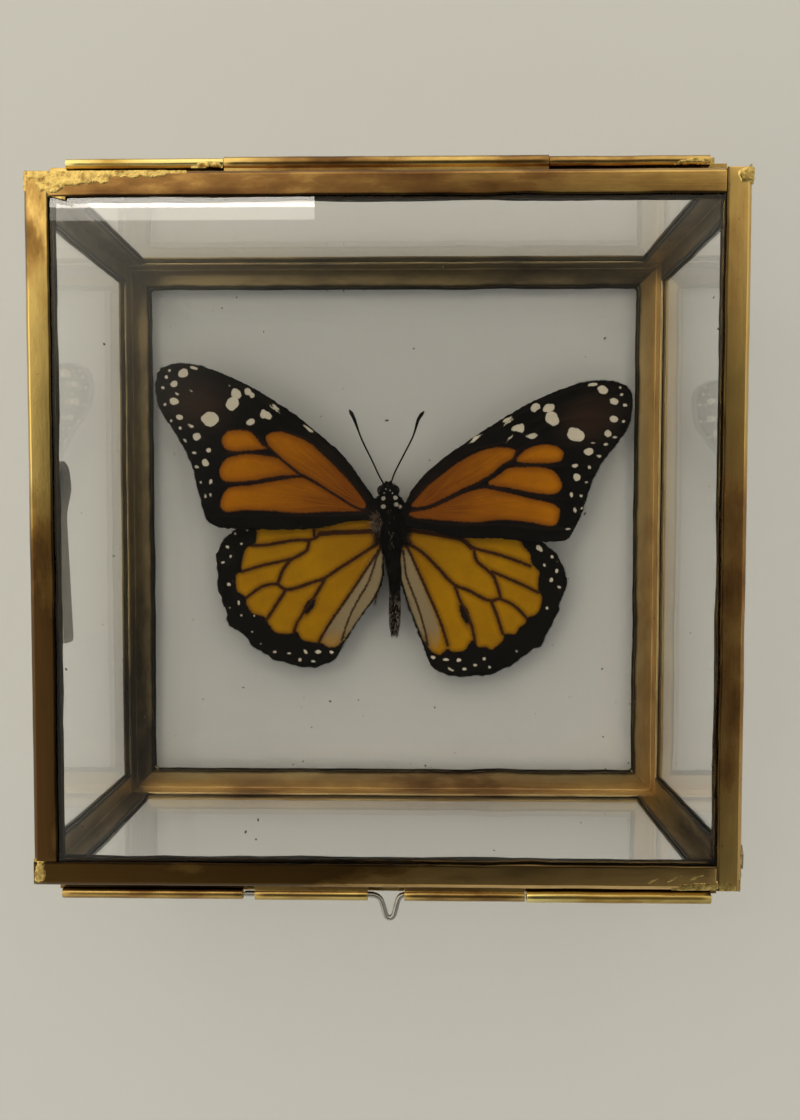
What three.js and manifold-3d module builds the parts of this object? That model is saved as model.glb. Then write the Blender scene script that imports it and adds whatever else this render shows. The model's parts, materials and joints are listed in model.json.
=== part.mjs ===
// A square glass display box with soldered brass edges, standing on its back, and the
// spread butterfly glued inside it. Millimetres, +Z up (the way the lid faces), +X to
// the right, +Y towards the hinge. The origin is the bottom centre of the whole object.
// The case is drawn about the box's own centre line and moved to that origin at the end.
import * as THREE from 'three';
import { mergeVertices } from 'three/addons/utils/BufferGeometryUtils.js';
import Module from 'manifold-3d';

const wasm = await Module();
wasm.setup();

// ---- driving dimensions ----
const BOX = 108; // outside width and height of the brass frame
const DEPTH = 46; // back of the case to the front of the lid
const GLASS = 2; // pane thickness
const SHEET = 0.4; // brass channel wall
const SLIP = 0.1; // play between a pane and its channel
const CORNER_FLANGE = 6.4; // reach of the corner channels, from the outer corner
const RIM_FLANGE = 3; // reach of the channel round the mouth of the case
const LID_FLANGE = 3.8; // reach of the channel round the lid
const LID_GAP = 0.1; // closed lid to rim
const LID_ROUND = 0.6; // bevel on the lid's front outer edge

const HINGE_AXIS_OUT = 1.9; // hinge axis outside the frame
const CATCH_AXIS_OUT = 2.1; // catch axis outside the frame
const STOUT_TUBE_R = 1.02; // rolled tubes, by hand and so not quite alike
const TUBE_R = 0.92;
const THIN_TUBE_R = 0.85;
const BORE_R = 0.6;
const PIN_R = 0.5;
const WIRE_R = 0.5;
const STRIP_LENGTH = 103; // brass strips soldered along the case under the tubes
const STRIP_WIDE = 2;
const STRIP_TALL = 3;

const WING_THICK = 0.4;
const FOREWING_TOP = 6.9;
const HINDWING_TOP = 6.0;
const BODY_GAP = 0.3; // clear space between pieces of the butterfly

// ---- derived sizes ----
const HALF = BOX / 2;
const CHANNEL = GLASS + 2 * (SHEET + SLIP);
const PANE_IN = SHEET + SLIP; // outer face of the brass to the face or edge of a pane
const CASE_TOP = DEPTH - CHANNEL - LID_GAP;
const LID_BASE = DEPTH - CHANNEL;
const PART_LINE = (CASE_TOP + LID_BASE) / 2; // height of the hinge and catch axes
const HINGE_Y = HALF + HINGE_AXIS_OUT;
const CATCH_Y = -HALF - CATCH_AXIS_OUT;

// ---- materials ----
const material = (name, color, roughness, metalness) =>
  Object.assign(new THREE.MeshStandardMaterial({ color, roughness, metalness }), { name });
const brass = material('brass', 0xb98f3c, 0.34, 1);
const steel = material('steel_wire', 0x9c9a92, 0.3, 1);
const glass = material('glass', 0xe8ece6, 0.03, 0);
glass.transparent = true;
glass.opacity = 0.25;
const forewingScales = material('forewing', 0xb8640f, 0.8, 0);
const hindwingScales = material('hindwing', 0xc77f12, 0.8, 0);
const chitin = material('body', 0x1c1814, 0.75, 0);

// ---- helpers for shapes ----
function outline(points, holes = []) {
  const shape = new THREE.Shape(points.map(([a, b]) => new THREE.Vector2(a, b)));
  shape.holes.push(...holes);
  return shape;
}

// The profile lies in the plane of the axes u and v and is drawn out along u x v.
function extrude(shape, length, corner, u, v) {
  const geometry = new THREE.ExtrudeGeometry(shape, {
    depth: length,
    bevelEnabled: false,
    curveSegments: 10,
  });
  const along = new THREE.Vector3().crossVectors(u, v);
  geometry.applyMatrix4(new THREE.Matrix4().makeBasis(u, v, along));
  geometry.translate(...corner);
  return geometry;
}

function toManifold(geometry) {
  const bare = geometry.clone();
  bare.deleteAttribute('normal');
  bare.deleteAttribute('uv');
  const welded = mergeVertices(bare, 1e-5);
  const vertProperties = new Float32Array(welded.attributes.position.array);
  const triVerts = new Uint32Array(welded.index.array);
  return new wasm.Manifold(new wasm.Mesh({ numProp: 3, vertProperties, triVerts }));
}

function fromManifold(manifold) {
  const mesh = manifold.getMesh();
  const geometry = new THREE.BufferGeometry();
  geometry.setAttribute('position', new THREE.BufferAttribute(mesh.vertProperties, 3));
  geometry.setIndex(new THREE.BufferAttribute(mesh.triVerts, 1));
  return geometry;
}

const joined = (geometries) =>
  fromManifold(geometries.map(toManifold).reduce((whole, next) => whole.add(next)));

function mesh(name, geometry, finish) {
  const piece = new THREE.Mesh(geometry, finish);
  piece.name = name;
  return piece;
}

const X = new THREE.Vector3(1, 0, 0);
const Y = new THREE.Vector3(0, 1, 0);
const Z = new THREE.Vector3(0, 0, 1);

function block([x0, y0, z0], [x1, y1, z1]) {
  const geometry = new THREE.BoxGeometry(x1 - x0, y1 - y0, z1 - z0);
  return geometry.translate((x0 + x1) / 2, (y0 + y1) / 2, (z0 + z1) / 2);
}

// ---- brass channels ----
// Corner channel: two slots at a right angle, one for each of two panes that meet.
function cornerChannel() {
  const inner = CHANNEL - SHEET;
  return outline([
    [0, 0],
    [CORNER_FLANGE, 0],
    [CORNER_FLANGE, SHEET],
    [CHANNEL, SHEET],
    [CHANNEL, inner],
    [CORNER_FLANGE, inner],
    [CORNER_FLANGE, CHANNEL],
    [CHANNEL, CHANNEL],
    [CHANNEL, CORNER_FLANGE],
    [inner, CORNER_FLANGE],
    [inner, SHEET],
    [SHEET, SHEET],
    [SHEET, CORNER_FLANGE],
    [0, CORNER_FLANGE],
  ]);
}

// Rim channel: a U over the front edge of a side pane, open downwards.
function rimChannel() {
  const inner = CHANNEL - SHEET;
  return outline([
    [0, 0],
    [0, -RIM_FLANGE],
    [SHEET, -RIM_FLANGE],
    [SHEET, -SHEET],
    [inner, -SHEET],
    [inner, -RIM_FLANGE],
    [CHANNEL, -RIM_FLANGE],
    [CHANNEL, 0],
  ]);
}

// Lid channel: a U round the edge of the lid pane, open inwards, its front edge eased.
function lidChannel() {
  const inner = CHANNEL - SHEET;
  return outline([
    [0, 0],
    [LID_FLANGE, 0],
    [LID_FLANGE, SHEET],
    [SHEET, SHEET],
    [SHEET, inner],
    [LID_FLANGE, inner],
    [LID_FLANGE, CHANNEL],
    [LID_ROUND, CHANNEL],
    [0, CHANNEL - LID_ROUND],
  ]);
}

// Cuts both ends of a bar along X at 45 degrees, so that four of them meet in mitres.
function mitreEnds(geometry) {
  const position = geometry.attributes.position;
  for (let i = 0; i < position.count; i += 1) {
    const inFromFace = position.getY(i) + HALF;
    const end = Math.sign(position.getX(i));
    position.setX(i, end * (HALF - inFromFace));
  }
  return geometry;
}

// ---- case: four like sides, each turned a quarter, and the back pane ----
// The side drawn here faces -Y. Each pane starts beside one post and runs into the next.
function caseSide(side, turn) {
  const group = new THREE.Group();
  const backEdge = mitreEnds(extrude(cornerChannel(), BOX, [-HALF, -HALF, 0], Y, Z));
  const rim = mitreEnds(extrude(rimChannel(), BOX, [-HALF, -HALF, CASE_TOP], Y, Z));
  const postLength = CASE_TOP - RIM_FLANGE - CORNER_FLANGE;
  const post = extrude(cornerChannel(), postLength, [-HALF, -HALF, CORNER_FLANGE], X, Y);
  const pane = block(
    [-HALF + CHANNEL + SLIP, -HALF + PANE_IN, PANE_IN],
    [HALF - PANE_IN, -HALF + PANE_IN + GLASS, CASE_TOP - PANE_IN],
  );
  group.add(
    mesh(`back_edge_${side.name}`, backEdge, brass),
    mesh(`rim_${side.name}`, rim, brass),
    mesh(`post_${side.corner}`, post, brass),
    mesh(`pane_${side.name}`, pane, glass),
  );
  group.rotation.z = (turn * Math.PI) / 2;
  return group;
}

function backPane() {
  const reach = HALF - CHANNEL - SLIP;
  const geometry = block([-reach, -reach, PANE_IN], [reach, reach, PANE_IN + GLASS]);
  return mesh('back_glass', geometry, glass);
}

// ---- lid: butted channel members round one pane ----
function lidFrame() {
  const group = new THREE.Group();
  const inside = HALF - LID_FLANGE;
  const member = (name, from, to, turn) => {
    const bar = extrude(lidChannel(), to - from, [from, -HALF, LID_BASE], Y, Z);
    const piece = mesh(name, bar, brass);
    piece.rotation.z = (turn * Math.PI) / 2;
    return piece;
  };
  group.add(
    member('lid_frame_catch_side', -HALF, inside, 0),
    member('lid_frame_right', -HALF, HALF, 1),
    member('lid_frame_hinge_side', -inside, inside, 2),
    member('lid_frame_left', -HALF, inside, 3),
  );
  const reach = HALF - PANE_IN;
  const paneBase = LID_BASE + PANE_IN;
  const pane = block([-reach, -reach, paneBase], [reach, reach, paneBase + GLASS]);
  group.add(mesh('lid_glass', pane, glass));
  return group;
}

// ---- hinge and catch tubes ----
function circle(radius) {
  return new THREE.Path().absarc(0, 0, radius, 0, 2 * Math.PI, false);
}

// A tube whose solder web reaches sideways to the lid frame.
function lidTubeShape(radius, out) {
  const low = 0.15;
  const high = 0.6 * radius;
  const shape = new THREE.Shape();
  shape.moveTo(-out, low);
  shape.lineTo(-out, high);
  const start = Math.PI - Math.asin(high / radius);
  const finish = -Math.PI - Math.asin(low / radius);
  shape.absarc(0, 0, radius, start, finish, true);
  shape.closePath();
  shape.holes.push(circle(BORE_R));
  return shape;
}

// A tube that stands by a solder web on the strip below it.
function caseTubeShape(radius) {
  const near = -0.95 * radius;
  const far = -0.2 * radius;
  const shape = new THREE.Shape();
  shape.moveTo(far, -STRIP_DROP);
  const start = -Math.acos(far / radius);
  const finish = Math.PI + Math.acos(-near / radius);
  shape.absarc(0, 0, radius, start, finish, false);
  shape.lineTo(near, -STRIP_DROP);
  shape.closePath();
  shape.holes.push(circle(BORE_R));
  return shape;
}

const STRIP_DROP = STOUT_TUBE_R + 0.1; // axis to the top of either strip

// Everything of a hinge or catch is drawn on the +Y face of the frame.
function tube(name, shape, from, to, out) {
  return mesh(name, extrude(shape, to - from, [from, HALF + out, PART_LINE], Y, Z), brass);
}

function strip(name) {
  const top = PART_LINE - STRIP_DROP;
  const low = [-STRIP_LENGTH / 2, HALF, top - STRIP_TALL];
  return mesh(name, block(low, [STRIP_LENGTH / 2, HALF + STRIP_WIDE, top]), brass);
}

const TUBE_SPLIT = 24.4; // the middle knuckle reaches this far each side
const TUBE_END = 48.4;
const TUBE_PLAY = 0.1;

function hingeOnCase() {
  const group = new THREE.Group();
  const onStrip = caseTubeShape(THIN_TUBE_R);
  const pinEnd = TUBE_END - 0.5;
  const pin = new THREE.CylinderGeometry(PIN_R, PIN_R, 2 * pinEnd, 12);
  pin.rotateZ(Math.PI / 2).translate(0, HINGE_Y, PART_LINE);
  group.add(
    strip('hinge_strip'),
    tube('hinge_tube_left', onStrip, -TUBE_END, -TUBE_SPLIT - TUBE_PLAY, HINGE_AXIS_OUT),
    tube('hinge_tube_right', onStrip, TUBE_SPLIT + TUBE_PLAY, TUBE_END, HINGE_AXIS_OUT),
    mesh('hinge_pin', pin, brass),
  );
  return group;
}

function hingeOnLid() {
  const shape = lidTubeShape(STOUT_TUBE_R, HINGE_AXIS_OUT);
  return tube('hinge_tube_middle', shape, -TUBE_SPLIT, TUBE_SPLIT, HINGE_AXIS_OUT);
}

// The catch is drawn on the +Y face too, turned half round, so its +X is the box's -X.
const CATCH_LEFT = [22.3, 50.5]; // tube on the case, near the left corner
const CATCH_MID_LEFT = [2.8, 20.4]; // tubes on the lid, either side of the pull
const CATCH_MID_RIGHT = [-21.5, -2.9];
const CATCH_RIGHT = [-50.1, -21.8];

function catchOnCase() {
  const group = new THREE.Group();
  const slim = caseTubeShape(THIN_TUBE_R);
  const stout = caseTubeShape(STOUT_TUBE_R);
  group.add(
    strip('catch_strip'),
    tube('catch_tube_left', slim, ...CATCH_LEFT, CATCH_AXIS_OUT),
    tube('catch_tube_right', stout, ...CATCH_RIGHT, CATCH_AXIS_OUT),
  );
  group.rotation.z = Math.PI;
  return group;
}

function catchOnLid() {
  const group = new THREE.Group();
  const shape = lidTubeShape(TUBE_R, CATCH_AXIS_OUT);
  group.add(
    tube('catch_tube_middle_left', shape, ...CATCH_MID_LEFT, CATCH_AXIS_OUT),
    tube('catch_tube_middle_right', shape, ...CATCH_MID_RIGHT, CATCH_AXIS_OUT),
  );
  group.rotation.z = Math.PI;
  return group;
}

// Steel spring wire in the lid's two catch tubes, bent out between them into a V pull.
const PULL_LENGTH = 3.75; // from the tubes' axis to the middle of the wire at its tip

function catchWire() {
  const route = [
    [-22.1, 0],
    [-3.2, 0],
    [-2.5, 0],
    [-1.7, 0.1],
    [-0.95, 0.55],
    [-0.6, 1.3],
    [-0.2, PULL_LENGTH - 1.1],
    [0.05, PULL_LENGTH - 0.35],
    [0.6, PULL_LENGTH],
    [1.15, PULL_LENGTH - 0.35],
    [1.4, PULL_LENGTH - 1.1],
    [1.75, 1.3],
    [2.0, 0.55],
    [2.5, 0.05],
    [3.2, 0],
    [21.2, 0],
  ];
  const points = route.map(([x, out]) => new THREE.Vector3(x, CATCH_Y - out, PART_LINE));
  const path = new THREE.CatmullRomCurve3(points, false, 'centripetal');
  const section = outline(ring(6, WIRE_R));
  const options = { extrudePath: path, steps: 110, bevelEnabled: false };
  return mesh('catch_wire', new THREE.ExtrudeGeometry(section, options), steel);
}

function ring(sides, radius) {
  return Array.from({ length: sides }, (_, i) => {
    const angle = (2 * Math.PI * i) / sides;
    return [radius * Math.cos(angle), radius * Math.sin(angle)];
  });
}

// ---- brass clip soldered under the left rim: a flattened loop with a tapered tail ----
const CLIP_THICK = 0.8;

function sideClip() {
  const rimSeat = CASE_TOP - 1;
  const body = outline(
    [
      [-18, 31.2],
      [3, 33.4],
      [7.5, 31.1],
      [10.8, 32.2],
      [11.9, 34.5],
      [10.8, 36.8],
      [7.5, 37.9],
      [3, 36.4],
      [3, rimSeat],
      [-3, rimSeat],
      [-3, 36.2],
      [-18, 35.4],
    ],
    [
      outline([
        [4.4, 34.8],
        [7.6, 32.2],
        [10.1, 33],
        [10.9, 34.5],
        [10.1, 36],
        [7.6, 36.9],
      ]),
    ],
  );
  const corner = [-HALF - CLIP_THICK, 0, 0];
  return mesh('side_clip', extrude(body, CLIP_THICK, corner, Y, Z), brass);
}

// ---- butterfly ----
// A wing is a thin slab: rings of points step in from the margin to the wing root, and
// its height above the back follows a droop from the root and a shallow camber.
const WING_RINGS = [1, 0.72, 0.4];

function wing(name, margin, { root, top, droop, camber, samples }, finish) {
  const rim = new THREE.CatmullRomCurve3(
    margin.map(([x, y]) => new THREE.Vector3(x, y, 0)),
    false,
    'centripetal',
  ).getPoints(samples);
  const far = Math.max(...rim.map((p) => Math.hypot(p.x - root[0], p.y - root[1])));
  const height = (x, y) => {
    const reach = Math.hypot(x - root[0], y - root[1]) / far;
    return top - droop * reach + camber * Math.sin(Math.PI * reach);
  };
  const count = rim.length;
  const points = [];
  for (const lift of [0, -WING_THICK]) {
    for (const scale of WING_RINGS) {
      for (const p of rim) {
        const x = root[0] + scale * (p.x - root[0]);
        const y = root[1] + scale * (p.y - root[1]);
        points.push(x, y, height(x, y) + lift);
      }
    }
    points.push(...root, height(...root) + lift);
  }
  const layer = WING_RINGS.length * count + 1;
  const faces = [];
  const quad = (a, b, c, d) => faces.push(a, b, c, a, c, d);
  for (let i = 0; i < count; i += 1) {
    const next = (i + 1) % count;
    for (let r = 0; r + 1 < WING_RINGS.length; r += 1) {
      const outer = r * count;
      const inner = outer + count;
      quad(outer + i, outer + next, inner + next, inner + i);
      quad(layer + inner + i, layer + inner + next, layer + outer + next, layer + outer + i);
    }
    const last = (WING_RINGS.length - 1) * count;
    faces.push(last + i, last + next, layer - 1);
    faces.push(layer + last + next, layer + last + i, 2 * layer - 1);
    quad(i, layer + i, layer + next, next);
  }
  const geometry = new THREE.BufferGeometry();
  geometry.setAttribute('position', new THREE.Float32BufferAttribute(points, 3));
  geometry.setIndex(faces);
  return mesh(name, geometry, finish);
}

// Margins run anticlockwise seen from above.
const FOREWING_RIGHT = [
  [3.2, 1.5],
  [9, -0.2],
  [15, -1.1],
  [25, -1.7],
  [30.5, -1.9],
  [33.8, -1.2],
  [35.3, 1.2],
  [36.7, 4.6],
  [38, 9],
  [39.7, 12.6],
  [42.2, 15.9],
  [44.6, 19.1],
  [45.6, 22.5],
  [45.9, 25],
  [44.9, 27.6],
  [42.5, 28.8],
  [38.5, 28.9],
  [32.6, 27.4],
  [25.1, 24],
  [17.6, 19.6],
  [10.2, 14.4],
  [5.2, 9.9],
  [2.7, 6.7],
];

const FOREWING_LEFT = [
  [-3.9, 7.2],
  [-7.4, 12.2],
  [-12.5, 17.5],
  [-19.9, 23.5],
  [-27.5, 28],
  [-35, 31.3],
  [-40, 32.3],
  [-43.6, 31.7],
  [-45.3, 30],
  [-45.5, 27],
  [-44.8, 23.9],
  [-42.6, 20.2],
  [-40, 15.9],
  [-38.4, 11.9],
  [-37.3, 7.4],
  [-36.5, 3.9],
  [-34.9, 1.5],
  [-32, 0.7],
  [-25, 0.5],
  [-15, 0.5],
  [-9.5, 1.7],
  [-3.6, 2.5],
];

const HINDWING_RIGHT = [
  [2.7, -3.2],
  [1.9, -7.6],
  [2.2, -11.8],
  [3.9, -16.6],
  [5.4, -20.6],
  [6.5, -24],
  [8.4, -26.9],
  [11.9, -28.1],
  [17, -28],
  [21, -27],
  [25.2, -24.6],
  [29, -22.1],
  [30.8, -18.2],
  [32.5, -14.4],
  [33.8, -10],
  [33.2, -6.6],
  [31.3, -3.8],
  [28.6, -1.2],
  [24, 1.2],
  [17, 2.4],
  [9, 2.6],
  [3, 1.2],
];

const HINDWING_LEFT = [
  [-3.3, 1.9],
  [-9, 4],
  [-17, 4.2],
  [-25, 3],
  [-30.8, 0.6],
  [-33.2, -2.1],
  [-34.3, -5],
  [-34.1, -10],
  [-33.2, -13.6],
  [-32.2, -17.4],
  [-29.4, -19.8],
  [-27, -22.6],
  [-22.9, -25.1],
  [-18.6, -26.2],
  [-14.9, -26.5],
  [-11.7, -25.2],
  [-9.4, -21.8],
  [-6.8, -17.7],
  [-3.4, -12.9],
  [-2.1, -9.2],
  [-3, -3.2],
];

function wings() {
  const fore = { top: FOREWING_TOP, droop: 0.3, camber: 0.25, samples: 44 };
  const hind = { top: HINDWING_TOP, droop: 0.6, camber: 0.1, samples: 40 };
  return [
    wing('hindwing_left', HINDWING_LEFT, { ...hind, root: [-3.4, -1.5] }, hindwingScales),
    wing('hindwing_right', HINDWING_RIGHT, { ...hind, root: [3.1, -1.7] }, hindwingScales),
    wing('forewing_left', FOREWING_LEFT, { ...fore, root: [-4.2, 4.6] }, forewingScales),
    wing('forewing_right', FOREWING_RIGHT, { ...fore, root: [3.6, 3.9] }, forewingScales),
  ];
}

// Head, thorax and abdomen with the folded legs, glued by the thorax to the back pane.
const PANE_FACE = PANE_IN + GLASS;
const THORAX = { centre: [-0.25, 1.7, 5.1], radii: [2.4, 5.6, 2.9] };
const HEAD = { centre: [-0.9, 7.7, 5.7], radii: [2.1, 1.7, 1.7] };
const ABDOMEN_FROM = [0.2, -2.5, 4.9];
const ABDOMEN_TO = [0.3, -20.2, 4.5];

function ball({ centre, radii }) {
  return new THREE.SphereGeometry(1, 20, 12).scale(...radii).translate(...centre);
}

function abdomen() {
  const from = new THREE.Vector3(...ABDOMEN_FROM);
  const to = new THREE.Vector3(...ABDOMEN_TO);
  const length = from.distanceTo(to);
  const girth = [
    [0, 0],
    [1.7, 0.02],
    [1.95, 0.16],
    [1.4, 0.34],
    [1.15, 0.46],
    [1.3, 0.72],
    [1.15, 0.88],
    [0.7, 0.97],
    [0, 1],
  ];
  const profile = girth.map(([radius, along]) => new THREE.Vector2(radius, along * length));
  const turn = new THREE.Quaternion().setFromUnitVectors(Y, to.clone().sub(from).normalize());
  const geometry = new THREE.LatheGeometry(profile, 16);
  return geometry.applyQuaternion(turn).translate(...ABDOMEN_FROM);
}

function limb(points, radius, sides, steps) {
  const path = new THREE.CatmullRomCurve3(
    points.map((p) => new THREE.Vector3(...p)),
    false,
    'centripetal',
  );
  const options = { extrudePath: path, steps, bevelEnabled: false };
  return new THREE.ExtrudeGeometry(outline(ring(sides, radius)), options);
}

function legs() {
  const rows = [
    { front: 3.4, knee: 1.2, heel: -4.2, reach: 3.1 },
    { front: 0.6, knee: -2.2, heel: -8.4, reach: 2.6 },
  ];
  const pairs = rows.map(({ front, knee, heel, reach }) =>
    [-1, 1].map((side) =>
      limb(
        [
          [side * 0.6, front, 3.6],
          [side * reach, knee, 3.6],
          [side * (reach - 0.5), heel, 3.1],
          [side * (reach - 1.2), heel - 2.5, 2.95],
        ],
        0.24,
        6,
        12,
      ),
    ),
  );
  return pairs.flat();
}

function bodyOfButterfly() {
  const whole = joined([ball(THORAX), ball(HEAD), abdomen(), ...legs()]);
  const below = block([-10, -30, PANE_FACE - 4], [10, 20, PANE_FACE]);
  return mesh('body', fromManifold(toManifold(whole).subtract(toManifold(below))), chitin);
}

// A thread of a feeler that ends in a small club.
function antenna(name, points) {
  const [before, tip] = points.slice(-2).map((p) => new THREE.Vector3(...p));
  const club = new THREE.SphereGeometry(1, 8, 6).scale(0.28, before.distanceTo(tip) * 0.62, 0.28);
  const aim = new THREE.Quaternion().setFromUnitVectors(Y, tip.clone().sub(before).normalize());
  club.applyQuaternion(aim).translate(...before.clone().lerp(tip, 0.55).toArray());
  return mesh(name, joined([limb(points, 0.14, 6, 12), club]), chitin);
}

function antennae() {
  const start = HEAD.centre[1] + HEAD.radii[1] + BODY_GAP;
  return [
    antenna('antenna_left', [
      [-2.1, start, 6.3],
      [-4, 14, 7.1],
      [-5.8, 17.7, 7.7],
      [-7.2, 21.5, 8.2],
      [-8.1, 23.2, 8.4],
    ]),
    antenna('antenna_right', [
      [-0.1, start, 6.3],
      [2.2, 14.7, 7.1],
      [4, 18.2, 7.7],
      [5, 21.3, 8.2],
      [6.1, 22.9, 8.4],
    ]),
  ];
}

// ---- the whole object ----
const SIDES = [
  { name: 'catch_side', corner: 'catch_left' },
  { name: 'right', corner: 'catch_right' },
  { name: 'hinge_side', corner: 'hinge_right' },
  { name: 'left', corner: 'hinge_left' },
];

const group = new THREE.Group();
group.add(
  backPane(),
  ...SIDES.map(caseSide),
  hingeOnCase(),
  catchOnCase(),
  sideClip(),
  ...wings(),
  bodyOfButterfly(),
  ...antennae(),
  lidFrame(),
  hingeOnLid(),
  catchOnLid(),
  catchWire(),
);

// The hinge, the pull and the clip stand out of the square, so the middle of the whole
// object lies beside the middle of the frame.
const middle = new THREE.Box3().setFromObject(group).getCenter(new THREE.Vector3());
group.position.set(-middle.x, -middle.y, 0);

export default group;
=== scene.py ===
import json
import random
from math import ceil, cos, pi, radians, sin, sqrt

import bmesh
import bpy
import numpy as np
from mathutils import Matrix, Quaternion, Vector, noise
from mathutils.geometry import delaunay_2d_cdt


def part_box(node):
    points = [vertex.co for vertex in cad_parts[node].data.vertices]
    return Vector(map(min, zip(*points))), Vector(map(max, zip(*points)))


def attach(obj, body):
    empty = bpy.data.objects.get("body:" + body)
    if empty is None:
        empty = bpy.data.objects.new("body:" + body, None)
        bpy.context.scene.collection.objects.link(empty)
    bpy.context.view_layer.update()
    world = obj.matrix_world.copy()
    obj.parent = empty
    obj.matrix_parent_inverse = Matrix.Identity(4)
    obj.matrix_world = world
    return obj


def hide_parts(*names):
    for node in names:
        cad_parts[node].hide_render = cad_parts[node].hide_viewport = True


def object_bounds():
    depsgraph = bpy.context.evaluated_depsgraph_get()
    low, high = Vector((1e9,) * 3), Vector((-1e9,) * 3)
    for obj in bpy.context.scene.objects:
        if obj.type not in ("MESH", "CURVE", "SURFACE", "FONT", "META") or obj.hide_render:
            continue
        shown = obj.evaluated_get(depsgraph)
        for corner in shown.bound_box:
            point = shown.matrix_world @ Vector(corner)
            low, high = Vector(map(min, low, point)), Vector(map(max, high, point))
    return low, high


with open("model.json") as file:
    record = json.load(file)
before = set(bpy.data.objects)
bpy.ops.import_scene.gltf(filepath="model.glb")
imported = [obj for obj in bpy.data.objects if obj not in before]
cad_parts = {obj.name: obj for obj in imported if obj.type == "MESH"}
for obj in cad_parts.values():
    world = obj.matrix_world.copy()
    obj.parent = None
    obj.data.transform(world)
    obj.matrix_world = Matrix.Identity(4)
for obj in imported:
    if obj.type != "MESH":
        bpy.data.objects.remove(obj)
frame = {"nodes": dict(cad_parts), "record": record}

cad_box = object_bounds()
bpy.context.scene.view_settings.view_transform = "Standard"
bpy.context.scene.cycles.blur_glossy = 0  # daylight crosses the panes without being spread

# ---- Case edging: twelve strips of sheet brass, folded round the glass edges and soft-soldered.
# The sheet is 0.4 mm thick, cut with hand shears and folded over a bar, so its free edges waver and
# its folds are soft. It has aged to a brown gold, with dark stains where fingers and flux touched it.

MM = 0.001  # every size below is in millimetres, from the middle of the case's back
back_low, back_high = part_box("back_glass")
MIDDLE = Vector(((back_low.x + back_high.x) / 2, (back_low.y + back_high.y) / 2, 0))
BODY_OF = {node: body for body, nodes in frame["record"]["behaviour"]["bodies"].items() for node in nodes}


def at(x, y, z):
    """A point of the scene, given in millimetres from the middle of the case's back."""
    return MIDDLE + Vector((x, y, z)) * MM


def paint(code):
    """The linear colour of an sRGB hex value."""
    parts = [int(code[i:i + 2], 16) / 255 for i in (1, 3, 5)]
    return (*(c / 12.92 if c <= 0.04045 else ((c + 0.055) / 1.055) ** 2.4 for c in parts), 1)


def every(size):
    """The scale of a pattern whose features are this many millimetres apart."""
    return 1 / (size * MM)


def plug(tree, node, sockets):
    """Fills inputs of a node, each with a value, a node or one output of a node."""
    for key, value in sockets.items():
        if isinstance(value, bpy.types.Node):
            value = value.outputs[2 if isinstance(value, bpy.types.ShaderNodeMix) else 0]
        if isinstance(value, bpy.types.NodeSocket):
            tree.links.new(value, node.inputs[key])
        else:
            node.inputs[key].default_value = value


def add(tree, kind, sockets, **settings):
    """Adds a node with its own settings and its inputs filled."""
    node = tree.nodes.new("ShaderNode" + kind)
    for key, value in settings.items():
        setattr(node, key, value)
    plug(tree, node, sockets)
    return node


def surface(name, **constants):
    """Starts a material; constants are inputs of its surface shader, with _ for a space."""
    made = bpy.data.materials.new(name)
    made.use_nodes = True
    shader = made.node_tree.nodes["Principled BSDF"]
    plug(made.node_tree, shader, {key.replace("_", " "): value for key, value in constants.items()})
    return made, made.node_tree, shader


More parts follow.
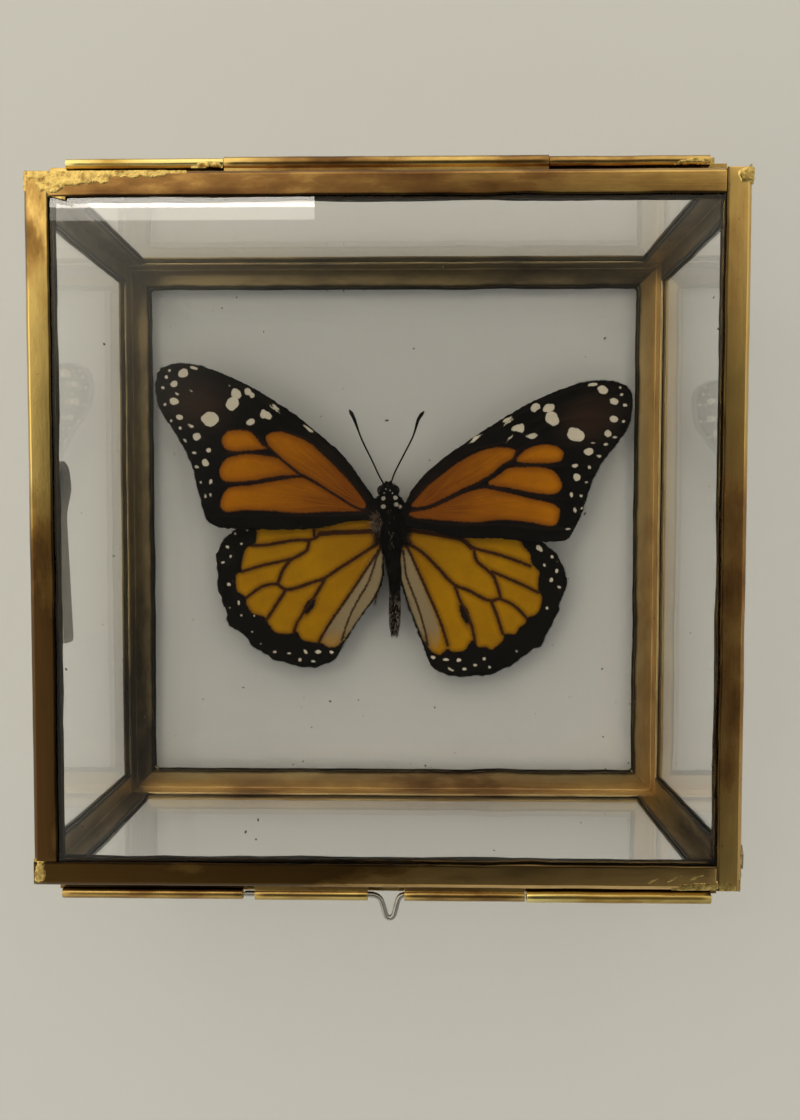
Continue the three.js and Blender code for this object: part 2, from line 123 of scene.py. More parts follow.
def aged_brass(name, run, clean, worn, stain, tarnish, fade=0, gloss=(0.15, 0.34)):
    """Rolled brass sheet rubbed by hand: a smooth gold shine under a brown bloom with soft borders.

    run is the axis of the strip, tarnish how far the bloom has spread, and gloss its roughness where
    it is brightest and dullest.
    """
    made, tree, shader = surface(name, Metallic=1)
    where = add(tree, "TexCoord", {}).outputs["Object"]
    stretch = [0.35 if axis == run else 1 for axis in "XYZ"]
    lines = [0.02 if axis == run else 1 for axis in "XYZ"]
    rolled = add(tree, "Mapping", {"Vector": where, "Scale": stretch})
    rubbing = add(tree, "Mapping", {"Vector": where, "Scale": lines})
    bloom = add(tree, "TexNoise", {"Vector": rolled, "Scale": every(12), "Detail": 3, "Roughness": 0.5})
    clouds = add(tree, "TexNoise", {"Vector": rolled, "Scale": every(3.2), "Detail": 4, "Roughness": 0.6})
    # Rubbing lines are about 0.05 mm apart; they are drawn 0.3 mm apart so that they show.
    rubbed = add(tree, "TexNoise", {"Vector": rubbing, "Scale": every(0.3), "Detail": 2, "Roughness": 0.5})
    pits = add(tree, "TexNoise", {"Vector": where, "Scale": every(0.6), "Detail": 3, "Roughness": 0.65})
    mixed = add(tree, "Math", {0: clouds, 1: 0.45, 2: bloom}, operation="MULTIPLY_ADD")
    # The bloom grows from one end of the strip to the other by fade for every 50 mm.
    along = add(tree, "SeparateXYZ", {0: where}).outputs[run]
    bloomed = add(tree, "Math", {0: along, 1: fade * every(50), 2: mixed}, operation="MULTIPLY_ADD")
    aged = add(tree, "MapRange", {0: bloomed, 1: 0.66 - tarnish, 2: 0.85 - tarnish})
    stained = add(tree, "MapRange", {0: bloomed, 1: 0.82 - tarnish, 2: 0.96 - tarnish, 3: 0, 4: 0.85})
    pitted = add(tree, "MapRange", {0: pits, 1: 0.69, 2: 0.74, 3: 0, 4: 0.5})
    lined = add(tree, "MapRange", {0: rubbed, 1: 0.35, 2: 0.65, 3: 0.95, 4: 1.03})
    gold = add(tree, "Mix", {0: aged, 6: paint(clean), 7: paint(worn)}, data_type="RGBA")
    brown = add(tree, "Mix", {0: stained, 6: gold, 7: paint(stain)}, data_type="RGBA")
    # Grime that no cloth reaches, and painted shade of the gap to the glass, lie along the edges next to the
    # glass.
    inner = add(tree, "Attribute", {}, attribute_name="inner")
    ragged = add(tree, "Math", {0: clouds, 1: 0.1, 2: inner.outputs["Fac"]}, operation="MULTIPLY_ADD")
    grime_and_gap_shade = add(tree, "MapRange", {0: ragged, 1: 0.95, 2: 1.02, 3: 0, 4: 0.92})
    spotted = add(tree, "Mix", {0: pitted, 6: brown, 7: paint("#241a10")}, data_type="RGBA")
    grime_and_gap_shaded = add(tree, "Mix", {0: grime_and_gap_shade, 6: spotted, 7: paint("#17100a")}, data_type="RGBA")
    streaked = add(tree, "HueSaturation", {"Value": lined, "Color": grime_and_gap_shaded})
    dulled = add(tree, "MapRange", {0: bloomed, 1: 0.48, 2: 0.95, 3: gloss[0], 4: gloss[1]})
    dents = add(tree, "Bump", {"Height": bloom, "Distance": 0.06 * MM, "Strength": 1.0})
    creases = add(tree, "Bump", {"Height": clouds, "Distance": 0.02 * MM, "Normal": dents})
    grain = add(tree, "Bump", {"Height": rubbed, "Distance": 0.002 * MM, "Normal": creases})
    plug(tree, shader, {"Base Color": streaked, "Roughness": dulled, "Normal": grain})
    return made


def brass_for(name, *look):
    """The same brass for strips that run along X, Y and Z."""
    return {run: aged_brass(f"{name}_{run.lower()}", run, *look) for run in "XYZ"}


# The left and hinge sides and the posts are dull and the right and catch sides gold: painted shade
# and light, by which way each faces the lamp. The rim under the lid is darkest, painted shade of the lid.
DULL = (0.3, 0.5)
DULL_BRASS = brass_for("dull_case_brass", "#8f7d58", "#695b43", "#3b3127", 0.05, 0, DULL)
GOLD_BRASS = brass_for("brown_gold_case_brass", "#c4ab7a", "#9d8058", "#5c4430", 0.0, 0, DULL)
RIM_BRASS = brass_for("shaded_rim_brass", "#564630", "#382c1e", "#1e1711", 0.08, 0, DULL)
CASE_BRASS = {"left": DULL_BRASS, "hinge_side": DULL_BRASS, "right": GOLD_BRASS, "catch_side": GOLD_BRASS}


def finish_piece(piece, slot, *nodes, body="case"):
    """Gives a finished piece its body and hides the solids that it stands for; its slot is not used."""
    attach(piece, body)
    if nodes:
        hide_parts(*nodes)


def mesh_of(name, work, sharp=None):
    """The finished mesh of a bmesh: smooth, with the edges over sharp degrees kept crisp."""
    mesh = bpy.data.meshes.new(name)
    work.to_mesh(mesh)
    work.free()
    mesh.shade_smooth()
    if sharp:
        mesh.set_sharp_from_angle(angle=radians(sharp))
    return mesh


def place(name, mesh, *materials):
    """Puts a mesh into the scene as an object in the given materials."""
    for material in materials:
        mesh.materials.append(material)
    piece = bpy.data.objects.new(name, mesh)
    bpy.context.collection.objects.link(piece)
    return piece


JOIN = 0.001 * MM  # points that lie closer than this are one


def solid_of(node, whole_faces=True):
    """A node's solid to work on, with its doubled points joined and its flat faces made whole."""
    work = bmesh.new()
    work.from_mesh(frame["nodes"][node].data)
    bmesh.ops.remove_doubles(work, verts=work.verts, dist=JOIN)
    if whole_faces:
        bmesh.ops.dissolve_limit(work, angle_limit=radians(1), verts=work.verts, edges=work.edges)
    return work


def soften(work, edges, width, steps):
    """Rounds edges off by a width in millimetres."""
    bmesh.ops.bevel(work, geom=edges, offset=width * MM, segments=steps, profile=0.5, affect="EDGES",
                    clamp_overlap=True)


LEAST_FOLD = radians(30)
CUT_GAP = 1.6  # between the cuts across a strip that let it waver
DENT_GAP, DENT_DEPTH = 6, 0.045  # marks of the hand all over a strip
WAVER_GAP = 9  # between the swings of a free edge
noise.seed_set(5)  # dents and torn edges come out the same each time


def hand_folded(node, slot, metals, waver=0.2, soft=0.12):
    """A strip as folded by hand: the solid's form with soft folds and free edges that waver."""
    low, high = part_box(node)
    run = max(range(3), key=lambda axis: high[axis] - low[axis])
    whole_low, whole_high = cad_box
    work = solid_of(node)
    folds = [e for e in work.edges if len(e.link_faces) == 2 and e.calc_face_angle(0) > LEAST_FOLD]
    soften(work, folds, soft, 2)
    across = Vector([float(axis == run) for axis in range(3)])
    cuts = int((high[run] - low[run]) / (CUT_GAP * MM))
    for cut in range(1, cuts):
        point = low.lerp(high, cut / cuts)
        parts = work.verts[:] + work.edges[:] + work.faces[:]
        bmesh.ops.bisect_plane(work, geom=parts, dist=JOIN, plane_co=point, plane_no=across)
    seed = Vector((0, 0, 7.3 * len(node)))
    inner = work.verts.layers.float.new("inner")
    for vert in work.verts:
        shift = noise.noise_vector(vert.co / (DENT_GAP * MM)) * DENT_DEPTH
        for axis in range(3):
            if axis == run:
                continue
            # The fold lies at the outside of the case; reach grows from there to the free edge.
            from_low = low[axis] - whole_low[axis] < whole_high[axis] - high[axis]
            reach = (vert.co[axis] - low[axis]) / (high[axis] - low[axis])
            reach = reach if from_low else 1 - reach
            if axis < 2:
                vert[inner] = max(vert[inner], reach)
            along = Vector((vert.co[run] / (WAVER_GAP * MM), 3.1 * axis, 0)) + seed
            shift[axis] += waver * reach ** 2 * (noise.noise(along) + 0.4 * noise.noise(along * 3.7))
        vert.co += shift * MM
    piece = place("folded_" + node, mesh_of("folded_" + node, work, sharp=40), metals["XYZ"[run]])
    piece.modifiers.new("flat_faces", "WEIGHTED_NORMAL").keep_sharp = True
    finish_piece(piece, slot, node, body=BODY_OF[node])


SIDES = ["catch_side", "right", "hinge_side", "left"]
POSTS = ["catch_left", "catch_right", "hinge_right", "hinge_left"]
for side in SIDES:
    hand_folded("back_edge_" + side, "case_brass", CASE_BRASS[side])
    hand_folded("rim_" + side, "case_brass", RIM_BRASS)
for corner in POSTS:
    hand_folded("post_" + corner, "case_brass", DULL_BRASS)


# ---- Solder: soft tin solder, run into the corners of the edging with an iron and wiped.
# It leaves low lumpy fillets and smears that stay greyer than the brass, dark where flux burnt on.

def tin_solder(name, light, dark):
    """Wiped solder: dull silver with a yellow cast where it is thin, and brown flux in its hollows."""
    made, tree, shader = surface(name, Metallic=1)
    where = add(tree, "TexCoord", {}).outputs["Object"]
    flux = add(tree, "TexNoise", {"Vector": where, "Scale": every(1.1), "Detail": 5, "Roughness": 0.7})
    burnt = add(tree, "MapRange", {0: flux, 1: 0.36, 2: 0.5})
    mixed = add(tree, "Mix", {0: burnt, 6: paint(dark), 7: paint(light)}, data_type="RGBA")
    dull = add(tree, "MapRange", {0: flux, 1: 0.35, 2: 0.65, 3: 0.4, 4: 0.18})
    crumbs = add(tree, "TexNoise", {"Vector": where, "Scale": every(0.7), "Detail": 4, "Distortion": 1.5})
    rough = add(tree, "Bump", {"Height": crumbs, "Distance": 0.04 * MM})
    plug(tree, shader, {"Base Color": mixed, "Roughness": dull, "Normal": rough})
    return made


UP = (0, 0, 1)
SMEAR_GRID = 0.16  # spacing of a smear's mesh
SMEAR_ROOT = 0.2  # how deep its underside lies in the metal
STRIP_REACH = 53.9  # the outer edge of the strips, where a smear on top of them ends


def solder(name, smears, metal, slot, body):
    """Crumpled skins of solder in one mesh; each smear is its middle, half sizes, turn, height and axis."""
    work = bmesh.new()
    for number, (middle, half_long, half_wide, turn, rise, facing) in enumerate(smears):
        tilt = Vector(UP).rotation_difference(Vector(facing)) @ Quaternion(UP, radians(turn))
        seed = Vector((0, 0, 3.7 * number))
        nx = max(4, ceil(2 * half_long / SMEAR_GRID))
        ny = max(4, ceil(2 * half_wide / SMEAR_GRID))
        rows = []
        for i in range(nx + 1):
            for j in range(ny + 1):
                u, v = 2 * i / nx - 1, 2 * j / ny - 1
                spot = Vector((u * half_long, v * half_wide, 0))
                # Tongues of solder run out over the brass, and the film dips into it between them.
                tongues = noise.noise(spot * 0.4 + seed) + 0.45 * noise.noise(spot * 1.3 + seed)
                covered = 0.8 - max(abs(u), abs(v)) ** 8 - 0.95 * (u * u + v * v) + 0.95 * tongues
                film = min(1, max(-1, 3 * covered))
                crumpled = noise.noise(spot * 1.6 + seed) + 0.9 * abs(noise.noise(spot * 3.1 + seed))
                spot.z = rise * film * (1 + 0.4 * crumpled) if film > 0 else 0.15 * film
                spot.z = max(spot.z, -0.12)
                for depth in (spot.z, -SMEAR_ROOT):
                    spread = Vector(middle) + tilt @ Vector((spot.x, spot.y, depth))
                    if facing == UP:
                        spread.x = min(max(spread.x, -STRIP_REACH), STRIP_REACH)
                    if facing == UP and abs(middle[1]) < STRIP_REACH:
                        spread.y = min(max(spread.y, -STRIP_REACH), STRIP_REACH)
                    rows.append(work.verts.new(at(*spread)))

        def corner_of(i, j, under):
            """A point of the skin or, with under, the one below it."""
            return rows[2 * (i * (ny + 1) + j) + under]

        for i in range(nx):
            for j in range(ny):
                ring = [(i, j), (i + 1, j), (i + 1, j + 1), (i, j + 1)]
                work.faces.new([corner_of(*c, 0) for c in ring])
                work.faces.new([corner_of(*c, 1) for c in reversed(ring)])
        border = [(i, 0) for i in range(nx)] + [(nx, j) for j in range(ny)]
        border += [(i, ny) for i in range(nx, 0, -1)] + [(0, j) for j in range(ny, 0, -1)]
        for a, b in zip(border, border[1:] + border[:1]):
            work.faces.new([corner_of(*b, 0), corner_of(*a, 0), corner_of(*a, 1), corner_of(*b, 1)])
    finish_piece(place(name, mesh_of(name, work, sharp=50), metal), slot, body=body)


SOLDER = tin_solder("wiped_tin_solder", "#8d8168", "#35281d")
INNER = 48.5  # across the inner corners of the back edging
OUTER = 53.98  # the outer faces of the strips
case_smears = []
for sx, sy in ((-1, -1), (1, -1), (1, 1), (-1, 1)):
    case_smears.append(((sx * INNER, sy * INNER, 0.42), 1.6, 1.1, 45 * sx * sy, 0.12, UP))
    case_smears.append(((sx * OUTER, sy * 49.5, 6.4), 1.9, 1.0, 0, 0.14, (sx, 0, 0)))
    case_smears.append(((sx * 49.5, sy * OUTER, 6.4), 1.9, 1.0, 0, 0.14, (0, sy, 0)))
    case_smears.append(((sx * 50.5, sy * OUTER, 40.2), 2.2, 1.1, 0, 0.14, (0, sy, 0)))
    case_smears.append(((sx * OUTER, sy * 50.5, 40.2), 2.2, 1.1, 0, 0.14, (sx, 0, 0)))
solder("case_corner_solder", case_smears, SOLDER, "case_brass", "case")


# ---- Case glass: a back pane and four sides of 2 mm float glass, cut to size and held by the edging.
# The panes have a ground-off arris and dust and flux specks that were never wiped away.

def float_glass(name):
    """Clear float glass: sharp reflections, and a grey green only where it is looked through edgeways."""
    made, tree, _ = surface(name, Roughness=0, IOR=1.52, Transmission_Weight=1, Base_Color=(1, 1, 1, 1))
    tint = add(tree, "VolumeAbsorption", {"Color": paint("#b4c9bb"), "Density": 3.0})
    plug(tree, tree.nodes["Material Output"], {"Volume": tint})
    return made


GLASS = float_glass("clear_float_glass")


def glaze(node):
    """Finishes a pane in clear glass with its sharp edges just taken off."""
    pane = frame["nodes"][node]
    pane.data.materials.clear()
    pane.data.materials.append(GLASS)
    arris = pane.modifiers.new("arris", "BEVEL")
    arris.width = 0.15 * MM
    arris.segments = 2


for pane in ["back_glass"] + ["pane_" + side for side in SIDES]:
    glaze(pane)


def dust(name, reach, height, count, seed, body):
    """Flat crumbs of dirt on a square pane, thickest near its edges, which are at reach from its middle."""
    dirt = surface(name, Roughness=0.8, Base_Color=paint("#4a4036"))[0]
    draw = random.Random(seed)
    work = bmesh.new()
    for _ in range(count):
        across = draw.random() ** 2.2 / 2
        along = draw.random()
        u, v = (across, along) if draw.random() < 0.5 else (along, across)
        u = 1 - u if draw.random() < 0.5 else u
        v = 1 - v if draw.random() < 0.5 else v
        size = 0.05 + 0.13 * draw.random() ** 3
        turn = draw.random() * 2 * pi
        crumb = bmesh.ops.create_icosphere(work, subdivisions=1, radius=1)
        for vert in crumb["verts"]:
            bump = 0.6 + 0.8 * draw.random()
            x = vert.co.x * size * 1.5 * bump
            y = vert.co.y * size * bump
            spot = (x * cos(turn) - y * sin(turn), x * sin(turn) + y * cos(turn), vert.co.z * 0.04)
            vert.co = at(2 * reach * u - reach, 2 * reach * v - reach, height) + Vector(spot) * MM
    finish_piece(place(name, mesh_of(name, work), dirt), "glass", body=body)


dust("back_glass_dust", 47, 2.54, 110, 4, "case")


# ---- Hindwings: thin dry membrane under a coat of scales, orange between black veins.
# The black border carries white dots, and a pale fold lies beside the body. The front edge of
# each hindwing is tucked under the forewing. Black scent patches on one vein mark a male.

def spline(points, gap, closed=False):
    """Points about gap apart along a smooth curve through the given ones."""
    p = np.array(points, float)
    if closed:
        p = np.vstack([p[-1], p, p[0], p[1]])
    else:
        p = np.vstack([2 * p[0] - p[1], p, 2 * p[-1] - p[-2]])
    out = []
    for a, b, c, d in zip(p, p[1:], p[2:], p[3:]):
        steps = max(1, ceil(np.linalg.norm(c - b) / gap))
        for t in np.arange(steps) / steps:
            out.append(0.5 * (2 * b + (c - a) * t + (2 * a - 5 * b + 4 * c - d) * t ** 2
                              + (3 * b - a - 3 * c + d) * t ** 3))
    if not closed:
        out.append(p[-2])
    return np.array(out)


def from_line(spots, line):
    """How far each spot is from the nearest point of a line of points."""
    near = np.full(len(spots), 1e9)
    for a, b in zip(line, line[1:]):
        way = b - a
        share = np.clip(((spots - a) @ way) / max(way @ way, 1e-12), 0, 1)
        near = np.minimum(near, np.hypot(*(spots - a - share[:, None] * way).T))
    return near


def inside(spots, loop):
    """How far inside a closed line each spot lies, negative outside."""
    odd = np.zeros(len(spots), bool)
    x, y = spots.T
    for (ax, ay), (bx, by) in zip(loop, np.roll(loop, -1, axis=0)):
        crosses = (ay > y) != (by > y)
        with np.errstate(divide="ignore", invalid="ignore"):
            odd ^= crosses & (x < (bx - ax) * (y - ay) / (by - ay) + ax)
    near = from_line(spots, np.vstack([loop, loop[:1]]))
    return np.where(odd, near, -near)


def inside_ovals(spots, ovals):
    """How far inside the nearest oval each spot lies; an oval is its middle, half sizes and turn."""
    best = np.full(len(spots), -1e9)
    for x, y, long, short, turn in ovals:
        c, s = cos(radians(turn)), sin(radians(turn))
        dx, dy = spots[:, 0] - x, spots[:, 1] - y
        ring = np.hypot((dx * c + dy * s) / long, (dy * c - dx * s) / short)
        best = np.maximum(best, (1 - ring) * min(long, short))
    return best


def grow(verts, faces, root, way, length, thick, droop=Vector((0, 0, 0))):
    """Adds one tapered bristle: a three-sided stem that bends by droop and ends in a point."""
    way = way.normalized()
    side = way.orthogonal().normalized()
    first = len(verts)
    for share, width in ((0, 1), (0.55, 0.7)):
        middle = root + way * length * share + droop * share ** 2
        for k in range(3):
            verts.append(middle + Quaternion(way, 2 * pi * k / 3) @ side * thick * width)
    verts.append(root + way * length + droop)
    faces.append([first + k for k in reversed(range(3))])
    for k in range(3):
        n = (k + 1) % 3
        faces.append([first + k, first + n, first + 3 + n, first + 3 + k])
        faces.append([first + 3 + k, first + 3 + n, first + 6])


MEMBRANE = 0.12  # thickness of a dry wing
SCALE_GRID = 0.3  # spacing of the wing's mesh
RIB_RISE, RIB_WIDTH = 0.07, 0.28  # how far a vein swells the membrane
SAG, SAG_REACH = 0.10, 1.6  # how far it sinks between veins, in full from this far off them
FRINGE = (0.22, 0.42)  # lengths of the hairs along the outer margin
NOWHERE = -9.0  # the scale value of a marking that is not there


def scaled_wing(name, ground, field, rim, root, pale, patch, white, rib, basal_reach):
    """Overlapping dust-fine scales that trap light: soft and matt, with hardly any shine."""
    made, tree, shader = surface(name, Roughness=0.75, IOR=1.56, Specular_IOR_Level=0.05, Sheen_Weight=0.01,
                                 Sheen_Roughness=0.4)
    where = add(tree, "TexCoord", {}).outputs["Object"]
    ragged = add(tree, "TexNoise", {"Vector": where, "Scale": every(0.45), "Detail": 4, "Roughness": 0.7})
    shades = add(tree, "TexNoise", {"Vector": where, "Scale": every(4), "Detail": 4})
    # Scales lie about 0.1 mm apart in rows; they are drawn 0.2 mm apart so that they show.
    rows = add(tree, "TexVoronoi", {"Vector": where, "Scale": every(0.2)})
    wobble = add(tree, "MapRange", {0: ragged, 1: 0.25, 2: 0.75, 3: -0.2, 4: 0.2})
    of = {key: add(tree, "Attribute", {}, attribute_name=key).outputs["Fac"]
          for key in ("field", "spot", "pale", "patch", "reach", "fan", "vein", "cell")}

    # Hairs and dusky scales streak outwards from the root and thin out half way along the wing.
    spread = add(tree, "CombineXYZ", {0: of["fan"], 1: of["reach"]})
    streaks = add(tree, "Mapping", {"Vector": spread, "Scale": (1, 0.22, 1)})
    hairs = add(tree, "TexNoise", {"Vector": streaks, "Scale": 30, "Detail": 4, "Roughness": 0.5})
    hairy = add(tree, "MapRange", {0: hairs, 1: 0.3, 2: 0.7, 3: 0.55, 4: 1.0})
    base = add(tree, "MapRange", {0: of["reach"], 1: 0.12, 2: basal_reach, 3: 1, 4: 0})
    basal = add(tree, "Math", {0: base, 1: hairy}, operation="MULTIPLY")
    uneven = add(tree, "MapRange", {0: shades, 1: 0.3, 2: 0.7, 3: 0, 4: 0.3})
    dusk = add(tree, "MapRange", {0: of["field"], 1: 2 * basal_reach, 2: -0.05, 3: 0, 4: 0.85})
    ribs = add(tree, "MapRange", {0: of["vein"], 1: 0.02, 2: -0.16, 3: 0, 4: 1})
    between = add(tree, "MapRange", {0: of["cell"], 1: -1.0, 2: -0.2, 3: 0.2, 4: 0.9})
    ribbed = add(tree, "Math", {0: ribs, 1: between}, operation="MULTIPLY")

    # The borders between colours are ragged by a scale or two, as every scale has one colour.
    borders = {}
    for key, low, high, wander in (("pale", -0.4, 0.6, 1.4), ("patch", -1.6, 3.0, 2.0),
                                   ("field", -0.16, 0.14, 1.0), ("spot", -0.05, 0.05, 0.5)):
        shifted = add(tree, "Math", {0: wobble, 1: wander, 2: of[key]}, operation="MULTIPLY_ADD")
        borders[key] = add(tree, "MapRange", {0: shifted, 1: low, 2: high})
    in_black = add(tree, "Math", {0: 1.0, 1: borders["field"]}, operation="SUBTRACT")

    coat = paint(field)
    for share, colour in ((uneven, rim), (basal, root), (dusk, rim),
                          (borders["pale"], pale), (in_black, ground)):
        coat = add(tree, "Mix", {0: share, 6: coat, 7: paint(colour)}, data_type="RGBA")
    for share, colour in ((borders["patch"], patch), (ribbed, rib), (borders["spot"], white)):
        coat = add(tree, "Mix", {0: share, 6: coat, 7: paint(colour)}, data_type="RGBA")
    grain = add(tree, "MapRange", {0: rows.outputs["Distance"], 1: 0, 2: 0.9, 3: 1.06, 4: 0.86})
    shaded = add(tree, "HueSaturation", {"Value": grain, "Color": coat})
    tiles = add(tree, "Bump", {"Height": rows.outputs["Distance"], "Distance": 0.02 * MM, "Strength": 0.6})
    plug(tree, shader, {"Base Color": shaded, "Normal": tiles})
    return made


def wing(name, node, margin, rise, cells, veins, spots, pale, patch, dark, coats, slot, hem, seed):
    """A wing: its outline filled with fine triangles, ribs raised, and scale values on every point.

    rise is the root, the height there, the droop to the tip and the camber. hem is the direction of
    the outer margin and how far out the fringe starts.
    """
    root, top, droop, camber = rise
    draw = random.Random(seed)
    rim = spline(margin, SCALE_GRID, closed=True)
    centre = rim.mean(axis=0)
    for point in rim:
        out = (point - centre) / np.linalg.norm(point - centre)
        wave = noise.noise(Vector((point[0] * 0.9, point[1] * 0.9, seed)))
        point += out * (0.14 * wave + 0.2 * noise.noise(Vector((point[0] * 1.5, point[1] * 1.5, seed))))
    x0, y0 = rim.min(axis=0)
    x1, y1 = rim.max(axis=0)
    rows = np.arange(y0, y1, SCALE_GRID * 0.87)
    columns = np.arange(x0, x1, SCALE_GRID)
    grid = np.array([(x + SCALE_GRID / 2 * (k % 2), y) for k, y in enumerate(rows) for x in columns])
    grid = grid[inside(grid, rim) > 0.6 * SCALE_GRID]
    points = [Vector(p) for p in np.vstack([rim, grid])]
    flat, _, triangles, *_ = delaunay_2d_cdt(points, [], [list(range(len(rim)))], 1, 1e-5)
    spread = np.array([(p.x, p.y) for p in flat])

    lines = [(half, spline(line, 0.6)) for half, line in veins]
    to_vein = np.min([from_line(spread, line) for _, line in lines], axis=0)
    clear = np.min([from_line(spread, line) - half for half, line in lines], axis=0)
    cell = np.max([inside(spread, spline(loop, 0.5, closed=True)) for loop in cells], axis=0)
    field = np.minimum(cell, clear) if len(cells) == 1 else np.minimum(cell, clear + 0.1)
    if dark:
        field = np.minimum(field, -inside_ovals(spread, dark))
    far = np.hypot(*(rim - root).T).max()
    reach = np.hypot(*(spread - root).T) / far
    fan = np.arctan2(*(spread - root).T)
    to_rim = inside(spread, rim)

    swell = RIB_RISE * np.exp(-(to_vein / RIB_WIDTH) ** 2)
    hollow = SAG * np.minimum(to_vein, SAG_REACH) / SAG_REACH * np.clip(to_rim / 2, 0, 1)
    ripple = [0.12 * noise.noise(Vector((x / 7, y / 7, seed))) for x, y in spread]
    height = top - droop * reach + camber * np.sin(pi * reach) + swell - hollow + np.array(ripple) - MEMBRANE
    depth = MEMBRANE + 0.8 * swell

    count = len(spread)
    verts = [at(x, y, z) for (x, y), z in zip(spread, height)]
    verts += [at(x, y, z - d) for (x, y), z, d in zip(spread, height, depth)]
    upper = [list(t) for t in triangles]
    if (flat[upper[0][1]] - flat[upper[0][0]]).cross(flat[upper[0][2]] - flat[upper[0][0]]) < 0:
        upper = [t[::-1] for t in upper]
    lower = [[i + count for i in reversed(t)] for t in upper]
    sides = {(t[k], t[(k + 1) % 3]) for t in upper for k in range(3)}
    edge = [(a, b) for a, b in sides if (b, a) not in sides]
    walls = [[b, a, a + count, b + count] for a, b in edge]
    faces = upper + lower + walls

    torn = np.array([noise.noise_vector(Vector((x * 0.9, y * 0.9, seed)))[:2] for x, y in spread])
    spot = inside_ovals(spread + 0.25 * torn, spots)
    values = {
        "field": field,
        "spot": spot,
        "pale": np.full(count, NOWHERE),
        "patch": inside_ovals(spread, patch) if patch else np.full(count, NOWHERE),
        "reach": reach,
        "fan": fan,
        "vein": clear,
        "cell": cell,
    }
    if pale:
        # The pale fold has sharp sides along the veins and fades towards the wing's edge.
        faded = 0.2 * (spread[:, 1] - min(y for _, y in pale) - 1.0)
        values["pale"] = np.minimum(inside(spread, spline(pale, 0.5, closed=True)), faded)
    values = {key: list(v) * 2 for key, v in values.items()}

    # The hem is a fringe of scale hairs along the outer margin, black with white patches.
    for a, b in edge:
        if spread[a][0] * hem[0] + spread[a][1] * hem[1] < hem[2]:
            continue
        middle = (spread[a] + spread[b]) / 2
        out = Vector((spread[b][1] - spread[a][1], spread[a][0] - spread[b][0], 0)).normalized()
        for _ in range(3):
            share = draw.random()
            base = spread[a] * (1 - share) + spread[b] * share
            way = out + Vector((draw.uniform(-0.3, 0.3), draw.uniform(-0.3, 0.3), draw.uniform(-0.2, 0.05)))
            start = at(base[0] - out.x * 0.05, base[1] - out.y * 0.05, height[a] - MEMBRANE / 2)
            before = len(verts)
            grow(verts, faces, start, way, draw.uniform(*FRINGE) * MM, 0.03 * MM)
            white = noise.noise(Vector((middle[0] * 0.9, middle[1] * 0.9, seed + 4))) > 0.22
            for key, value in values.items():
                off = {"spot": 1.0 if white else -1.0, "reach": 1.0, "vein": 9.0}.get(key, NOWHERE)
                value += [off] * (len(verts) - before)

    mesh = bpy.data.meshes.new(name)
    mesh.from_pydata(verts, [], faces)
    piece = place(name, mesh, *coats)
    under = np.zeros(len(faces), np.int32)
    under[len(upper):2 * len(upper)] = 1
    mesh.polygons.foreach_set("material_index", under)
    for key, value in values.items():
        mesh.attributes.new(key, "FLOAT", "POINT").data.foreach_set("value", np.array(value, np.float32))
    mesh.shade_smooth()
    mesh.validate()
    finish_piece(piece, slot, node)


HIND_COAT = [
    scaled_wing("hindwing_scales", ground="#0c0907", field="#a87803", rim="#6f4606", root="#8f6205",
                pale="#88775a", patch="#2a1d14", white="#d2c7b2", rib="#381c08", basal_reach=0.4),
    scaled_wing("hindwing_underside_scales", ground="#1c1510", field="#d6a24c", rim="#9a6a2c", root="#b98a4c",
                pale="#d8c294", patch="#3a2a1c", white="#d8d0bf", rib="#2a1d12", basal_reach=0.4),
]
HIND_RISE = {"left": (np.array((-3.4, -1.5)), 6.0, 0.6, 0.1), "right": (np.array((3.1, -1.7)), 6.0, 0.6, 0.1)}

HIND_MARGIN_LEFT = [
    (-3.5, 3.2), (-9, 4.3), (-16, 4.6), (-23, 3.8), (-28, 2.2), (-30.5, .4), (-31.9, -.6), (-33, -1.8),
    (-33.8, -3.4), (-34.3, -4.8), (-34.25, -6.4), (-34, -8.4), (-34.1, -11.2), (-33.4, -12.6), (-33, -14.2),
    (-32.4, -15.6), (-32.25, -17.1), (-31.75, -18.25), (-29.9, -19.4), (-28.3, -20.9), (-27.6, -22.1),
    (-26.1, -23.1), (-24.4, -24.1), (-22.9, -25.1), (-20.8, -25.5), (-18.6, -26.2), (-16.3, -26.4),
    (-14.9, -26.5), (-13.6, -25.9), (-11.9, -25.3), (-10.9, -24.4), (-9.9, -22.7), (-8.8, -20.75),
    (-7.2, -18.25), (-4.9, -14.9), (-3.3, -12.8), (-2.2, -10.6), (-1.75, -8.7), (-1.6, -7.5)]
HIND_FIELD_LEFT = [
    (-26.3, 0), (-26.6, -2.3), (-28.3, -3.1), (-29, -4.8), (-29.4, -7), (-29.1, -7.8), (-30.4, -8.5),
    (-30.4, -11.2), (-29.7, -12), (-28.6, -12.7), (-28.4, -14.2), (-27.2, -15.9), (-24.9, -16.6),
    (-24.1, -18), (-23, -19.4), (-21.9, -19.8), (-19.7, -19.8), (-18.6, -19.4), (-17.7, -20.9),
    (-16.3, -21.4), (-13.6, -21.7), (-12.7, -22.4), (-11.1, -22.4), (-10.1, -21.6), (-9.3, -20.9),
    (-7.7, -18.5), (-5.4, -15.1), (-3.8, -12.9), (-2.7, -10.6), (-2.2, -8.7), (-2.1, -7.5), (-3.2, 3),
    (-26, 3)]
